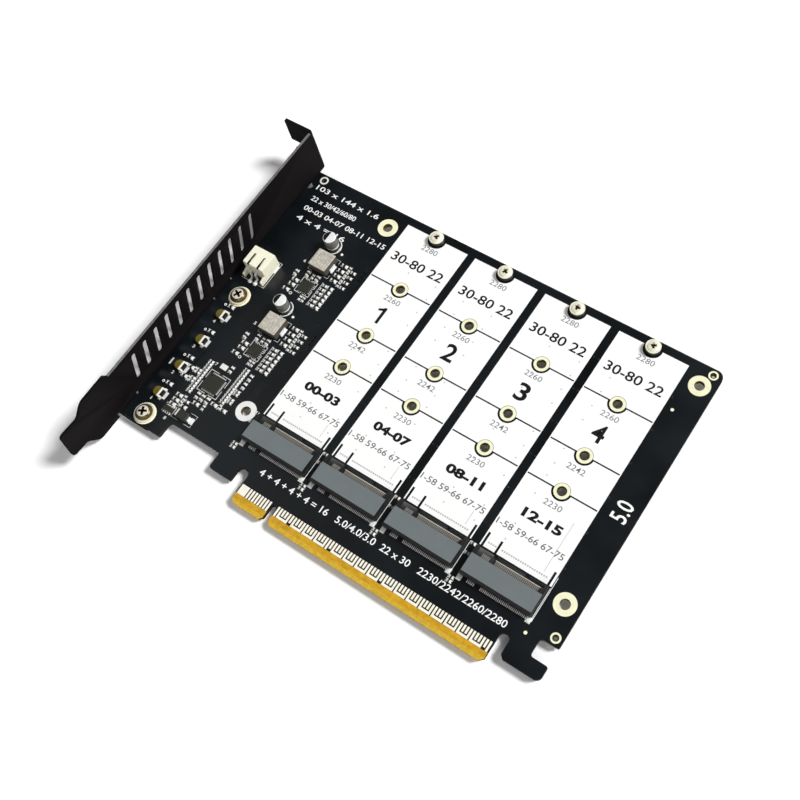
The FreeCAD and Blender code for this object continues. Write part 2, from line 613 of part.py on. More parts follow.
# ---------------------------------------------------------------- drive sockets
def drive_socket(x):
    """Moulded socket body: back, floor, lower lip, end walls and key rib."""
    top = TOP + SOCKET_HEIGHT - SOCKET_COVER_THICKNESS
    slot_floor = TOP + SLOT_FLOOR
    slot_top = slot_floor + SLOT_HEIGHT
    lip_top = TOP + SOCKET_LIP_HEIGHT
    left = x - SOCKET_HALF_WIDTH
    right = x + SOCKET_HALF_WIDTH
    profile = [(SOCKET_BACK_Y, TOP, 0), (SOCKET_LIP_FRONT_Y, TOP, 0),
               (SOCKET_LIP_FRONT_Y, lip_top, SOCKET_LIP_RADIUS),
               (SOCKET_COVER_FRONT_Y, slot_floor, 0), (DRIVE_STOP_Y, slot_floor, 0),
               (DRIVE_STOP_Y, slot_top, 0), (SOCKET_COVER_FRONT_Y, slot_top, 0),
               (SOCKET_COVER_FRONT_Y, top, 0), (SOCKET_BACK_Y, top, SOCKET_EDGE_RADIUS)]
    body = side_profile(profile, left, right)
    wall_profile = [(DRIVE_STOP_Y, TOP, 0), (SOCKET_LIP_FRONT_Y, TOP, 0),
                    (SOCKET_LIP_FRONT_Y, TOP + SOCKET_CHEEK_HEIGHT, SOCKET_CHEEK_RADIUS),
                    (SOCKET_COVER_FRONT_Y + SOCKET_CHEEK_TOP_REACH, top, SOCKET_CHEEK_RADIUS),
                    (DRIVE_STOP_Y, top, 0)]
    walls = [side_profile(wall_profile, left, left + SOCKET_WALL),
             side_profile(wall_profile, right - SOCKET_WALL, right)]
    rib = x + KEY_RIB_OFFSET
    key = box(rib - KEY_RIB_WIDTH / 2, rib + KEY_RIB_WIDTH / 2, DRIVE_STOP_Y, SOCKET_COVER_FRONT_Y,
              slot_floor, slot_top)
    notches = [box(place - LIP_NOTCH_WIDTH / 2, place + LIP_NOTCH_WIDTH / 2,
                   SOCKET_LIP_FRONT_Y - LIP_NOTCH_DEPTH, SOCKET_LIP_FRONT_Y, TOP, slot_floor)
               for place in (rib, x + LIP_NOTCH_OFFSET)]
    return body.fuse(walls + [key]).cut(notches).removeSplitter()


def socket_cover(x):
    """Thin pressed plate on top of the socket body."""
    high = TOP + SOCKET_HEIGHT
    low = high - SOCKET_COVER_THICKNESS
    half = SOCKET_HALF_WIDTH - SOCKET_COVER_INSET
    radius = SOCKET_COVER_RADIUS
    return slab([(x - half, SOCKET_COVER_BACK_Y, radius), (x + half, SOCKET_COVER_BACK_Y, radius),
                 (x + half, SOCKET_COVER_FRONT_Y, radius), (x - half, SOCKET_COVER_FRONT_Y, radius)],
                low, high)


def contact_places(x):
    """Contacts of one socket: a short group left of the key and a long one right of it."""
    short_start = SHORT_GROUP_INSET - SOCKET_HALF_WIDTH
    room = SOCKET_HALF_WIDTH - LONG_GROUP_INSET - LONG_GROUP_START
    long_count = int(room / CONTACT_PITCH + 0.001) + 1
    groups = [(short_start, SHORT_GROUP_CONTACTS), (LONG_GROUP_START, long_count)]
    return [x + start + CONTACT_PITCH * n for start, count in groups for n in range(count)]


def socket_contacts(x):
    """Row of solder tails behind the socket body."""
    half = CONTACT_WIDTH / 2
    front = SOCKET_BACK_Y
    return [box(p - half, p + half, front - TAIL_REACH, front, TOP, TOP + CONTACT_THICKNESS)
            for p in contact_places(x)]


def socket_tabs():
    reach = SOCKET_HALF_WIDTH - TAB_INSET
    return [centred_box(x + side * reach, TAB_Y, TAB_SIZE, TOP)
            for x in lane_centres() for side in (-1, 1)]


# ---------------------------------------------------------------- drive standoffs and screws
def drive_standoff(x, y):
    seat = TOP + STANDOFF_HEIGHT
    return turned(x, y, [(STANDOFF_BORE_RADIUS, UNDER), (STANDOFF_SHANK_RADIUS, UNDER),
                         (STANDOFF_SHANK_RADIUS, TOP), (STANDOFF_RADIUS, TOP),
                         (STANDOFF_RADIUS, seat), (STANDOFF_BORE_RADIUS, seat)])


def drive_screws():
    seat = TOP + STANDOFF_HEIGHT
    return [pan_screw(x, y, seat, DRIVE_SCREW_HEAD_RADIUS, DRIVE_SCREW_HEAD_HEIGHT,
                      DRIVE_SCREW_SHANK_RADIUS, DRIVE_SCREW_LENGTH) for x, y in standoff_places()]


# ---------------------------------------------------------------- regulators
def inductor(shift):
    x, y = INDUCTOR_CENTRE
    half = INDUCTOR_SIZE / 2
    block = box(x - half, x + half, y + shift - half, y + shift + half, TOP, TOP + INDUCTOR_HEIGHT)
    kept = [edge for edge in block.Edges if edge.BoundBox.ZMax > TOP + 1e-6]
    return block.makeChamfer(INDUCTOR_CHAMFER, kept)


def inductor_terminals(shift):
    x, y = INDUCTOR_CENTRE
    thickness, width, height = INDUCTOR_TERMINAL
    places = [x + side * (INDUCTOR_SIZE + thickness) / 2 for side in (-1, 1)]
    return [centred_box(place, y + shift, (thickness, width, height), TOP) for place in places]


def capacitor_base(shift):
    x, y = CAN_CENTRE
    half = CAN_BASE_SIZE / 2
    cut = CAN_BASE_CHAMFER
    low, high = y + shift - half, y + shift + half
    corners = sharp([(x - half, low), (x + half - cut, low), (x + half, low + cut), (x + half, high - cut),
                     (x + half - cut, high), (x - half, high)])
    return slab(corners, TOP, TOP + CAN_BASE_HEIGHT)


def capacitor_can(shift):
    """Pressed aluminium can, rounded at its top edge."""
    x, y = CAN_CENTRE
    low = TOP + CAN_BASE_HEIGHT
    high = low + CAN_HEIGHT
    return turned(x, y + shift, [(0, low), (CAN_RADIUS, low), (CAN_RADIUS, high - CAN_RIM),
                                 (CAN_RADIUS - CAN_RIM, high), (0, high)])


def flat_chip(centre, size, shift=0):
    x, y = centre
    return centred_box(x, y + shift, (size, size, CHIP_HEIGHT), TOP)


# ---------------------------------------------------------------- fan header
def header_pin_places():
    return [HEADER_CENTRE_X + side * HEADER_PIN_PITCH / 2 for side in (-1, 1)]


def fan_header():
    """Side-entry header: a box open towards the top of the card, with a slit roof and two feet."""
    x0 = HEADER_CENTRE_X - HEADER_WIDTH / 2
    x1 = HEADER_CENTRE_X + HEADER_WIDTH / 2
    top = TOP + HEADER_HEIGHT
    foot_top = TOP + HEADER_FOOT_HEIGHT
    wall = HEADER_WALL
    radius = HEADER_EDGE_RADIUS
    side = [(HEADER_BACK_Y - HEADER_FOOT_REACH, TOP, 0), (HEADER_FRONT_Y, TOP, 0),
            (HEADER_FRONT_Y, top, radius), (HEADER_BACK_Y, top, radius), (HEADER_BACK_Y, foot_top, 0),
            (HEADER_BACK_Y - HEADER_FOOT_REACH, foot_top - HEADER_FOOT_SLOPE, radius)]
    body = side_profile(side, x0, x1)
    back_room = box(x0 + wall, x1 - wall, HEADER_BACK_Y - HEADER_FOOT_REACH, HEADER_BACK_Y, TOP, top)
    cavity = box(x0 + wall, x1 - wall, HEADER_BACK_Y + HEADER_BACK_WALL, HEADER_FRONT_Y,
                 TOP + wall, top - wall)
    slits = [box(x - HEADER_SLIT_WIDTH / 2, x + HEADER_SLIT_WIDTH / 2,
                 HEADER_BACK_Y, HEADER_BACK_Y + HEADER_SLIT_LENGTH, top - wall, top)
             for x in (HEADER_CENTRE_X - HEADER_SLIT_OFFSET, HEADER_CENTRE_X + HEADER_SLIT_OFFSET)]
    half = HEADER_PIN_SIZE / 2
    level = TOP + HEADER_PIN_HEIGHT
    pin_holes = [box(x - half, x + half, HEADER_BACK_Y, HEADER_FRONT_Y, level - half, level + half)
                 for x in header_pin_places()]
    return body.cut([back_room, cavity] + slits + pin_holes)


def header_pin(x):
    """Square pin bent down from the back of the header to its foot on the board."""
    size = HEADER_PIN_SIZE
    level = TOP + HEADER_PIN_HEIGHT
    front = HEADER_FRONT_Y - HEADER_PIN_TIP_GAP
    back = HEADER_BACK_Y - HEADER_PIN_DROP_GAP
    inner = HEADER_PIN_BEND_RADIUS
    corners = [(front, level - size / 2, 0), (front, level + size / 2, 0),
               (back - size, level + size / 2, inner + size), (back - size, TOP + size, inner),
               (HEADER_PIN_FOOT_Y, TOP + size, 0), (HEADER_PIN_FOOT_Y, TOP, 0),
               (back, TOP, inner + size), (back, level - size / 2, inner)]
    return side_profile(corners, x - size / 2, x + size / 2)


def header_pins():
    return [header_pin(x) for x in header_pin_places()]


# ---------------------------------------------------------------- status lights and small parts
def led_bodies():
    return [centred_box(LED_X, y, LED_SIZE, TOP) for y in LED_Y]


def led_lens(y):
    """Lens that looks out of the card towards the bracket, with a rounded nose."""
    start = LED_X - LED_SIZE[0] / 2
    end = start - LED_LENS_REACH
    half = LED_LENS_WIDTH / 2
    return slab([(start, y - half, 0), (start, y + half, 0), (end, y + half, LED_LENS_RADIUS),
                 (end, y - half, LED_LENS_RADIUS)], TOP + LED_LENS_GAP, TOP + LED_LENS_GAP + LED_LENS_HEIGHT)


def part_places(columns, shift_x=0, shift_y=0):
    return [(x + shift_x, y + shift_y, size) for x, rows, size in columns for y in rows]


def small_part_places():
    parts = part_places(CLOCK_PARTS)
    for shift in regulator_shifts():
        parts += part_places(REGULATOR_PARTS, 0, shift)
    for x in lane_centres():
        parts += part_places(SOCKET_PARTS, x, 0)
    shift_x, shift_y = LED_PART_SHIFT
    parts += [(LED_X + shift_x, y + shift_y, LARGE_PART) for y in LED_Y]
    return parts


def small_parts():
    return [centred_box(x, y, size, TOP) for x, y, size in small_part_places()]


def diode():
    return centred_box(*DIODE_CENTRE, DIODE_SIZE, TOP)


def diode_leads():
    x, y = DIODE_CENTRE
    reach = (DIODE_SIZE[0] + DIODE_LEAD[0]) / 2
    return [centred_box(x + side * reach, y, DIODE_LEAD, TOP) for side in (-1, 1)]


# ---------------------------------------------------------------- build
def build():
    os.makedirs("parts", exist_ok=True)
    save("circuit_board", circuit_board())
    save("edge_contacts_front", edge_pads(1))
    save("edge_contacts_back", edge_pads(-1))
    save("bracket", bracket())
    save("bracket_screws", bracket_screws())
    for number, x in enumerate(lane_centres(), 1):
        save("drive_socket_%d" % number, drive_socket(x))
        save("socket_cover_%d" % number, socket_cover(x))
        save("socket_contacts_%d" % number, socket_contacts(x))
    save("socket_tabs", socket_tabs())
    save("drive_standoffs", [drive_standoff(x, y) for x, y in standoff_places()])
    save("drive_screws", drive_screws())
    for number, shift in enumerate(regulator_shifts(), 1):
        save("inductor_%d" % number, inductor(shift))
        save("inductor_terminals_%d" % number, inductor_terminals(shift))
        save("capacitor_base_%d" % number, capacitor_base(shift))
        save("capacitor_can_%d" % number, capacitor_can(shift))
        save("regulator_chip_%d" % number, flat_chip(REGULATOR_CENTRE, REGULATOR_SIZE, shift))
    save("clock_chip", flat_chip(CLOCK_CENTRE, CLOCK_SIZE))
    save("clock_crystal", centred_box(*CRYSTAL_CENTRE, CRYSTAL_SIZE, TOP))
    save("fan_header", fan_header())
    save("fan_header_pins", header_pins())
    save("status_led_bodies", led_bodies())
    save("status_led_lenses", [led_lens(y) for y in LED_Y])
    save("small_parts", small_parts())
    save("diode", diode())
    save("diode_leads", diode_leads())
    save("small_chip", centred_box(*SMALL_CHIP_CENTRE, SMALL_CHIP_SIZE, TOP))


build()
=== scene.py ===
"""Four-drive adapter card with a vented bracket: finishes, plating, print, fine parts and stage."""
import math

import bmesh
import bpy
from mathutils import Matrix, Vector


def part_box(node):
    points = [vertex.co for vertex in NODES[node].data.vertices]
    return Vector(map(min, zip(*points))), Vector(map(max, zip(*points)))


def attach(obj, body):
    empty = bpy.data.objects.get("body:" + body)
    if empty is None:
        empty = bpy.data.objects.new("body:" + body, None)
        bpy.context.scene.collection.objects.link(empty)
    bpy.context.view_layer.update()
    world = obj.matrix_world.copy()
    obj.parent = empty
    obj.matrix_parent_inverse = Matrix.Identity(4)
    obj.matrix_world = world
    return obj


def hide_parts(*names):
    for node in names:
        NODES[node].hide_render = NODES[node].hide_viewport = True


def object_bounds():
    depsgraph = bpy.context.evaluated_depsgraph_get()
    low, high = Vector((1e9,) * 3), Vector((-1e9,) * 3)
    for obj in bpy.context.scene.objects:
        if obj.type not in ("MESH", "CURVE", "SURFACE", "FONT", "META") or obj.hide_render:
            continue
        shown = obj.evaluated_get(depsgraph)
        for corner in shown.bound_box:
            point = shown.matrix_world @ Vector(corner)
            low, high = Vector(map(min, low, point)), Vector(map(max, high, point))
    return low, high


bl_info = {
    "name": "Drive Adapter Card",
    "version": (1, 0, 0),
    "blender": (4, 5, 0),
    "location": "View3D > Sidebar > Card",
    "description": "Builds the finishes and the fine parts of a four-drive adapter card",
    "category": "Object",
}

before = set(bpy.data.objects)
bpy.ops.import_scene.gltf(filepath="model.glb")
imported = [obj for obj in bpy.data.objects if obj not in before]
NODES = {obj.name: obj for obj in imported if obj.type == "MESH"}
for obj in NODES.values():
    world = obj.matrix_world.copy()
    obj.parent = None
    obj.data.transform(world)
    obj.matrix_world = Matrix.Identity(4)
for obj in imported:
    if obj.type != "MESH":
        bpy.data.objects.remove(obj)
CAD_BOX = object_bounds()
MM = 0.001


def node_box(name):
    """Lowest and highest corner of a CAD node, in millimetres."""
    low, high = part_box(name)
    return low / MM, high / MM


# Places and sizes on the card that no CAD node gives by itself, in millimetres.
BOARD_LOW, BOARD_HIGH = node_box("circuit_board")
FACE, BACK = BOARD_HIGH.z, BOARD_LOW.z
LANES = [sum(corner.x for corner in node_box(f"socket_cover_{n}")) / 2 for n in range(1, 5)]
LANE_LEFT, LANE_RIGHT, LAST_LANE_RIGHT = 11.15, 11.05, 11.29
LANE_FOOT, LANE_HEAD = 26.0, 100.4
DRIVE_LENGTHS = {30: 50.0, 42: 62.0, 60: 80.0}
SCREW_Y = 100.0
COOLER_HOLES = [(-25.2, 24.0), (82.45, 24.0), (-25.2, 96.3), (82.45, 96.3)]
TOOLING_HOLES = [(-53.7, 101.0), (84.3, 101.0), (84.9, 15.3)]
TEST_DOTS = [(77.6, 12.4), (79.5, 86.1)]
COOLER_BORE, TOOLING_BORE, DRIVE_BORE = 1.5, 0.62, 1.45
SCREW_X = -51.1
BRACKET_SCREW_Y = (8.0, 53.3)
REGULATORS = (0.0, 25.3)
HOLES = [(x, y, COOLER_BORE, "cooler_ring") for x, y in COOLER_HOLES]
HOLES += [(x, y, TOOLING_BORE, "tooling_ring") for x, y in TOOLING_HOLES]
HOLES += [(x, y, DRIVE_BORE, "drive_ring") for x in LANES for y in DRIVE_LENGTHS.values()]
# Copper runs, the painted highlight on the bracket's top edge, chip parts, screws, cans and the
# header's slits, which get painted shade.
PAIR_PITCH, TAIL_PITCH, WIRE_PITCH, VIA_RISE = 4.6, 4.3, 0.5, 1.6
HIGHLIGHT_EDGE_Z, HIGHLIGHT_EDGE_Y = 15.2, (9.5, 100.0)
CAP_SHARE, CAP_EDGE = 0.27, 0.05
RECESS_SHARE, CAN_SECTOR = 0.62, 76
HEADER_X, SLIT_REACH, SLIT_Y = -50.7, 1.82, (62.2, 66.0)
LAMINATE_TOP = 2.9
TEXT_LINE_Y = 10.45
# Shader values, shading limits in degrees and square metres, and the floor's half size in metres.
WEAR_START, WEAR_FULL, NOISE_ROUGHNESS = 0.51, 0.58, 0.55
IOR, COAT_ROUGHNESS = 1.45, 0.1
SHARP_ANGLE, PLAIN_AREA, PLAIN_TILT = 32, 2e-6, 0.9995
FLOOR_HALF = 6.0


# ---------------------------------------------------------------- settings
def linear(code):
    """Linear colour from a six-digit display colour."""
    parts = [int(code[i:i + 2], 16) / 255 for i in (0, 2, 4)]
    return tuple(p / 12.92 if p <= 0.04045 else ((p + 0.055) / 1.055) ** 2.4 for p in parts)


def colour_setting(name, code, description):
    return bpy.props.FloatVectorProperty(name=name, description=description, subtype="COLOR",
                                         size=3, min=0.0, max=1.0, default=linear(code))


def length_setting(name, value, description):
    return bpy.props.FloatProperty(name=name, description=description, default=value * MM,
                                   min=0.0, unit="LENGTH", subtype="DISTANCE", precision=5)


class CardColours(bpy.types.PropertyGroup):
    """Colours of the card's finishes."""
    mask: colour_setting("Solder mask", "0d1215", "Glossy black coat of the board")
    laminate: colour_setting("Laminate", "cb9b1f", "Bare laminate under the edge contacts")
    bevel: colour_setting("Cut laminate", "dab236", "Chamfer of the tongue")
    board_edge: colour_setting("Board edge", "1a1815", "Routed sides of the board")
    plating: colour_setting("Ring plating", "fbf9d4", "Rings round the holes")
    contact: colour_setting("Contact plating", "fffae8", "Edge contacts")
    ink: colour_setting("White ink", "fdfdfc", "Printed lanes and numbers")
    coat: colour_setting("Bracket coat", "121011", "Satin black coat of the bracket")
    tin: colour_setting("Tin", "f1f1ee", "Solder and terminals")
    socket: colour_setting("Socket body", "131314", "Black moulding of the drive sockets")
    cover: colour_setting("Socket cover", "6e7577", "Grey cover of the drive sockets")
    header: colour_setting("Header", "fbf8e0", "Cream moulding of the fan header")
    ferrite: colour_setting("Ferrite", "a69f91", "Pressed powder of the inductors")
    lens: colour_setting("Lamp lens", "665a1c", "Amber lens of the status lamps")


class CardSizes(bpy.types.PropertyGroup):
    """Sizes of the fine detail."""
    ink_height: length_setting("Ink height", 0.02, "Thickness of the printed ink")
    plating_height: length_setting("Plating height", 0.035, "Thickness of the plated rings")
    trace_height: length_setting("Trace height", 0.018, "Relief of the copper under the mask")
    cooler_ring: length_setting("Cooler ring radius", 3.2, "Outer radius of the corner rings")
    drive_ring: length_setting("Drive ring radius", 2.33, "Outer radius of the rings in the lanes")
    tooling_ring: length_setting("Tooling ring radius", 1.45, "Outer radius of the small rings")
    lane_line: length_setting("Lane line", 0.45, "Width of the dark lines across a lane")
    sheet_edge: length_setting("Sheet edge", 0.1, "Rounding of the bracket's edges")
    moulding_edge: length_setting("Moulding edge", 0.08, "Rounding of moulded edges")


# ---------------------------------------------------------------- shaping
def block(low, high, edge=0.0, segments=2):
    """A closed block between two opposite corners, with rounded edges."""
    part = bmesh.new()
    bmesh.ops.create_cube(part, size=1.0)
    low, high = Vector(map(min, low, high)), Vector(map(max, low, high))
    bmesh.ops.scale(part, vec=high - low, verts=part.verts)
    bmesh.ops.translate(part, vec=(low + high) / 2, verts=part.verts)
    if edge:
        bmesh.ops.bevel(part, geom=part.edges[:], offset=edge, segments=segments, profile=0.5,
                        affect="EDGES", material=-1)
    return part


def pad(x, y, half_x, half_y, height, edge=0.0, segments=1, base=FACE):
    """A block round a point, standing on the board or on a level."""
    return block((x - half_x, y - half_y, base), (x + half_x, y + half_y, base + height), edge,
                 segments)


def turned(profile, steps=32):
    """A profile of (radius, height) points spun round Z."""
    part = bmesh.new()
    verts = [part.verts.new((radius, 0.0, height)) for radius, height in profile]
    edges = [part.edges.new(pair) for pair in zip(verts, verts[1:])]
    if profile[0][0] > 0 and profile[-1][0] > 0:
        edges.append(part.edges.new((verts[-1], verts[0])))
    bmesh.ops.spin(part, geom=verts + edges, cent=(0, 0, 0), axis=(0, 0, 1), dvec=(0, 0, 0),
                   angle=math.tau, steps=steps, use_merge=True, use_duplicate=False)
    bmesh.ops.remove_doubles(part, verts=part.verts, dist=1e-5)
    bmesh.ops.recalc_face_normals(part, faces=part.faces)
    return part


def disc(radius, height, steps, top=None):
    """A low disc from Z = 0 up, with a smaller top where one is given."""
    return turned([(0, 0), (radius, 0), (top or radius, height), (0, height)], steps)


def washer(outer, inner, height, steps):
    """A flat ring with plain edges, from Z = 0 up."""
    return turned([(inner, 0), (outer, 0), (outer, height), (inner, height)], steps)


def ring(outer, inner, height, steps=40):
    """A flat ring with a softened top edge."""
    soft = min(height, (outer - inner) / 2) / 3
    return turned([(inner, 0), (outer, 0), (outer, height - soft), (outer - soft, height),
                   (inner, height)], steps)


def linked(name, data):
    """A new object in the scene."""
    made = bpy.data.objects.new(name, data)
    bpy.context.scene.collection.objects.link(made)
    return made


def as_mesh(part, name="carrier"):
    """Turns a part into a mesh and frees it."""
    mesh = bpy.data.meshes.new(name)
    part.to_mesh(mesh)
    part.free()
    return mesh


def evaluated(carrier):
    """The shape of an object with its modifiers, as a part of its own."""
    bpy.context.view_layer.update()
    mesh = bpy.data.meshes.new_from_object(
        carrier.evaluated_get(bpy.context.evaluated_depsgraph_get()))
    part = bmesh.new()
    part.from_mesh(mesh)
    bpy.data.meshes.remove(mesh)
    return part


def meshed(curve):
    """The shape of a curve or text, as a part of its own."""
    carrier = linked("carrier", curve)
    part = evaluated(carrier)
    bpy.data.objects.remove(carrier)
    bpy.data.curves.remove(curve)
    return part


def flat(outlines, height):
    """A flat shape with openings: its outlines in the XY plane, from Z = 0 up."""
    curve = bpy.data.curves.new("outline", "CURVE")
    curve.dimensions = "2D"
    curve.fill_mode = "BOTH"
    curve.extrude = height / 2
    for outline in outlines:
        spline = curve.splines.new("POLY")
        spline.points.add(len(outline) - 1)
        for point, (x, y) in zip(spline.points, outline):
            point.co = (x, y, 0.0, 1.0)
        spline.use_cyclic_u = True
    part = meshed(curve)
    bmesh.ops.translate(part, vec=(0, 0, height / 2), verts=part.verts)
    return part


def lettering(text, height, width, thickness, weight=0.0):
    """Raised figures: left edge at X = 0, base line at Y = 0, fitted to a height and a width."""
    curve = bpy.data.curves.new("figures", "FONT")
    curve.body = text
    curve.size = 1.0
    curve.offset = weight
    curve.extrude = 0.01
    curve.resolution_u = 3
    part = meshed(curve)
    xs = [v.co.x for v in part.verts]
    ys = [v.co.y for v in part.verts]
    bmesh.ops.translate(part, vec=(-min(xs), -min(ys), 0.01), verts=part.verts)
    bmesh.ops.scale(part, vec=(width / (max(xs) - min(xs)), height / (max(ys) - min(ys)),
                               thickness / 0.02), verts=part.verts)
    return part


def arc(centre, radius, start, end, steps=16):
    """Points of an arc between two angles in degrees."""
    return [(centre[0] + radius * math.cos(math.radians(start + (end - start) * i / steps)),
             centre[1] + radius * math.sin(math.radians(start + (end - start) * i / steps)))
            for i in range(steps + 1)]


def rectangle(x0, y0, x1, y1):
    return [(x0, y0), (x1, y0), (x1, y1), (x0, y1)]


def at(x, y, z, turn=0.0, axis="Z"):
    return Matrix.Translation((x, y, z)) @ Matrix.Rotation(math.radians(turn), 4, axis)


def centre_of(low, high):
    """X and Y of the middle of a box."""
    return (low.x + high.x) / 2, (low.y + high.y) / 2


def on_face(x, y, turn=0.0):
    """A place on the board's printed face."""
    return at(x, y, FACE, turn)


def on_back(x, y):
    """A place on the board's other face, looking down."""
    return at(x, y, BACK, 180, "X")


def add(piece, part, place=None, index=None):
    """Joins a part to a piece, at its place and with the finish of that index."""
    if place is not None:
        bmesh.ops.transform(part, matrix=place, verts=part.verts)
    if index is not None:
        for face in part.faces:
            face.material_index = index
    carrier = as_mesh(part)
    piece.from_mesh(carrier)
    bpy.data.meshes.remove(carrier)


def cut(part, tool):
    """Takes a closed tool out of a closed part."""
    carriers = [linked("carrier", as_mesh(shape)) for shape in (part, tool)]
    knife = carriers[0].modifiers.new("cut", "BOOLEAN")
    knife.object = carriers[1]
    knife.operation = "DIFFERENCE"
    knife.solver = "EXACT"
    result = evaluated(carriers[0])
    for carrier in carriers:
        spare = carrier.data
        bpy.data.objects.remove(carrier)
        bpy.data.meshes.remove(spare)
    return result


def merged(name):
    """A closed copy of a CAD node, in millimetres."""
    part = bmesh.new()
    part.from_mesh(NODES[name].data)
    bmesh.ops.scale(part, vec=(1 / MM,) * 3, verts=part.verts)
    bmesh.ops.remove_doubles(part, verts=part.verts, dist=1e-4)
    bmesh.ops.dissolve_limit(part, angle_limit=math.radians(0.5), verts=part.verts,
                             edges=part.edges)
    return part


def solids(name):
    """Lowest and highest corner of each separate solid of a CAD node, in millimetres."""
    part = bmesh.new()
    part.from_mesh(NODES[name].data)
    bmesh.ops.remove_doubles(part, verts=part.verts, dist=1e-7)
    boxes, seen = [], set()
    for first in part.verts:
        if first in seen:
            continue
        group, front = [], [first]
        seen.add(first)
        while front:
            vert = front.pop()
            group.append(vert.co / MM)
            for edge in vert.link_edges:
                other = edge.other_vert(vert)
                if other not in seen:
                    seen.add(other)
                    front.append(other)
        boxes.append((Vector(map(min, zip(*group))), Vector(map(max, zip(*group)))))
    part.free()
    return sorted(boxes, key=lambda box: (round(box[0].x, 3), round(box[0].y, 3)))


def round_edges(part, offset, least=40.0, segments=2):
    """Rounds the edges of a merged part that turn by more than an angle in degrees."""
    sharp = [e for e in part.edges
             if len(e.link_faces) == 2 and e.calc_face_angle(0.0) > math.radians(least)]
    bmesh.ops.bevel(part, geom=sharp, offset=offset, segments=segments, profile=0.5,
                    affect="EDGES", material=-1, clamp_overlap=True)


def finished(piece, name, keys, slot, *replaces):
    """Turns a piece made in millimetres into an object of the card, with finishes by their keys."""
    bmesh.ops.scale(piece, vec=(MM, MM, MM), verts=piece.verts)
    mesh = as_mesh(piece, name)
    for key in keys.split():
        mesh.materials.append(finish(key))
    mesh.shade_smooth()
    mesh.set_sharp_from_angle(angle=math.radians(SHARP_ANGLE))
    for face in mesh.polygons:
        if face.area > PLAIN_AREA and max(map(abs, face.normal)) > PLAIN_TILT:
            face.use_smooth = False
    made = linked(name, mesh)
    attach(made, "root")
    if replaces:
        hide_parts(*replaces)


def softened(node, name, keys, slot, *rounding):
    """A CAD node with rounded edges, as a piece that stands for it."""
    part = merged(node)
    round_edges(part, *rounding)
    finished(part, name, keys, slot, node)


def dress(name, key):
    """Gives a CAD node its finish."""
    mesh = NODES[name].data
    mesh.materials.clear()
    mesh.materials.append(finish(key))


# ---------------------------------------------------------------- finishes
def place_node(tree, kind, label=None, **values):
    """Adds a node and sets its properties and its unlinked sockets."""
    made = tree.nodes.new("ShaderNode" + kind)
    made.label = label or ""
    for key, value in values.items():
        if key in made.bl_rna.properties:
            setattr(made, key, value)
        else:
            made.inputs[key.replace("_", " ")].default_value = value
    return made


def fresh_tree(owner):
    """The emptied node tree of a material or world."""
    owner.use_nodes = True
    owner.node_tree.nodes.clear()
    return owner.node_tree


def wire(tree, *links):
    """Links sockets, each link as (node, output, node, input)."""
    for start, output, end, entry in links:
        tree.links.new(start.outputs[output], end.inputs[entry])


def surface_group():
    """Shared finish: patches of colour and gloss, a fine grain and rubbed edges."""
    name = "Surface Finish"
    if name in bpy.data.node_groups:
        return bpy.data.node_groups[name]
    tree = bpy.data.node_groups.new(name, "ShaderNodeTree")
    for way, kind, labels in (
            ("INPUT", "Color", ("Color", "Worn Color")),
            ("INPUT", "Float", ("Variation", "Patch Size", "Roughness", "Roughness Spread",
                                "Grain Size", "Grain Depth", "Wear")),
            ("OUTPUT", "Color", ("Color",)), ("OUTPUT", "Float", ("Roughness",)),
            ("OUTPUT", "Vector", ("Normal",))):
        for label in labels:
            tree.interface.new_socket(name=label, in_out=way, socket_type="NodeSocket" + kind)
    given, out = tree.nodes.new("NodeGroupInput"), tree.nodes.new("NodeGroupOutput")
    where = place_node(tree, "TexCoord")

    def noise(size, detail):
        scale = place_node(tree, "Math", operation="DIVIDE")
        scale.inputs[0].default_value = 1 / MM
        made = place_node(tree, "TexNoise", Detail=detail, Roughness=NOISE_ROUGHNESS)
        wire(tree, (given, size, scale, 1), (where, "Object", made, "Vector"),
             (scale, 0, made, "Scale"))
        return made

    patches = noise("Patch Size", 3.0)
    grains = noise("Grain Size", 2.0)
    spread = place_node(tree, "MapRange", From_Min=0.3, From_Max=0.7, To_Min=-1.0,
                        To_Max=1.0)
    shade = place_node(tree, "Math", operation="MULTIPLY_ADD")
    shade.inputs[2].default_value = 1.0
    tone = place_node(tree, "VectorMath", operation="SCALE")
    shape = place_node(tree, "NewGeometry")
    edge = place_node(tree, "MapRange", From_Min=WEAR_START, From_Max=WEAR_FULL)
    broken = place_node(tree, "Math", operation="MULTIPLY")
    worn = place_node(tree, "Math", operation="MULTIPLY", use_clamp=True)
    mix = place_node(tree, "Mix", data_type="RGBA")
    gloss = place_node(tree, "Math", operation="MULTIPLY_ADD")
    depth = place_node(tree, "Math", operation="MULTIPLY")
    depth.inputs[1].default_value = MM
    bump = place_node(tree, "Bump", Strength=1.0)
    wire(tree, (patches, 0, spread, "Value"), (spread, 0, shade, 0), (given, "Variation", shade, 1),
         (given, "Color", tone, 0), (shade, 0, tone, "Scale"), (shape, "Pointiness", edge, "Value"),
         (edge, 0, broken, 0), (grains, 0, broken, 1), (broken, 0, worn, 0),
         (given, "Wear", worn, 1), (worn, 0, mix, "Factor"), (tone, 0, mix, 6),
         (given, "Worn Color", mix, 7), (mix, 2, out, "Color"), (spread, 0, gloss, 0),
         (given, "Roughness Spread", gloss, 1), (given, "Roughness", gloss, 2),
         (gloss, 0, out, "Roughness"), (given, "Grain Depth", depth, 0),
         (depth, 0, bump, "Distance"), (grains, 0, bump, "Height"), (bump, 0, out, "Normal"))
    return tree


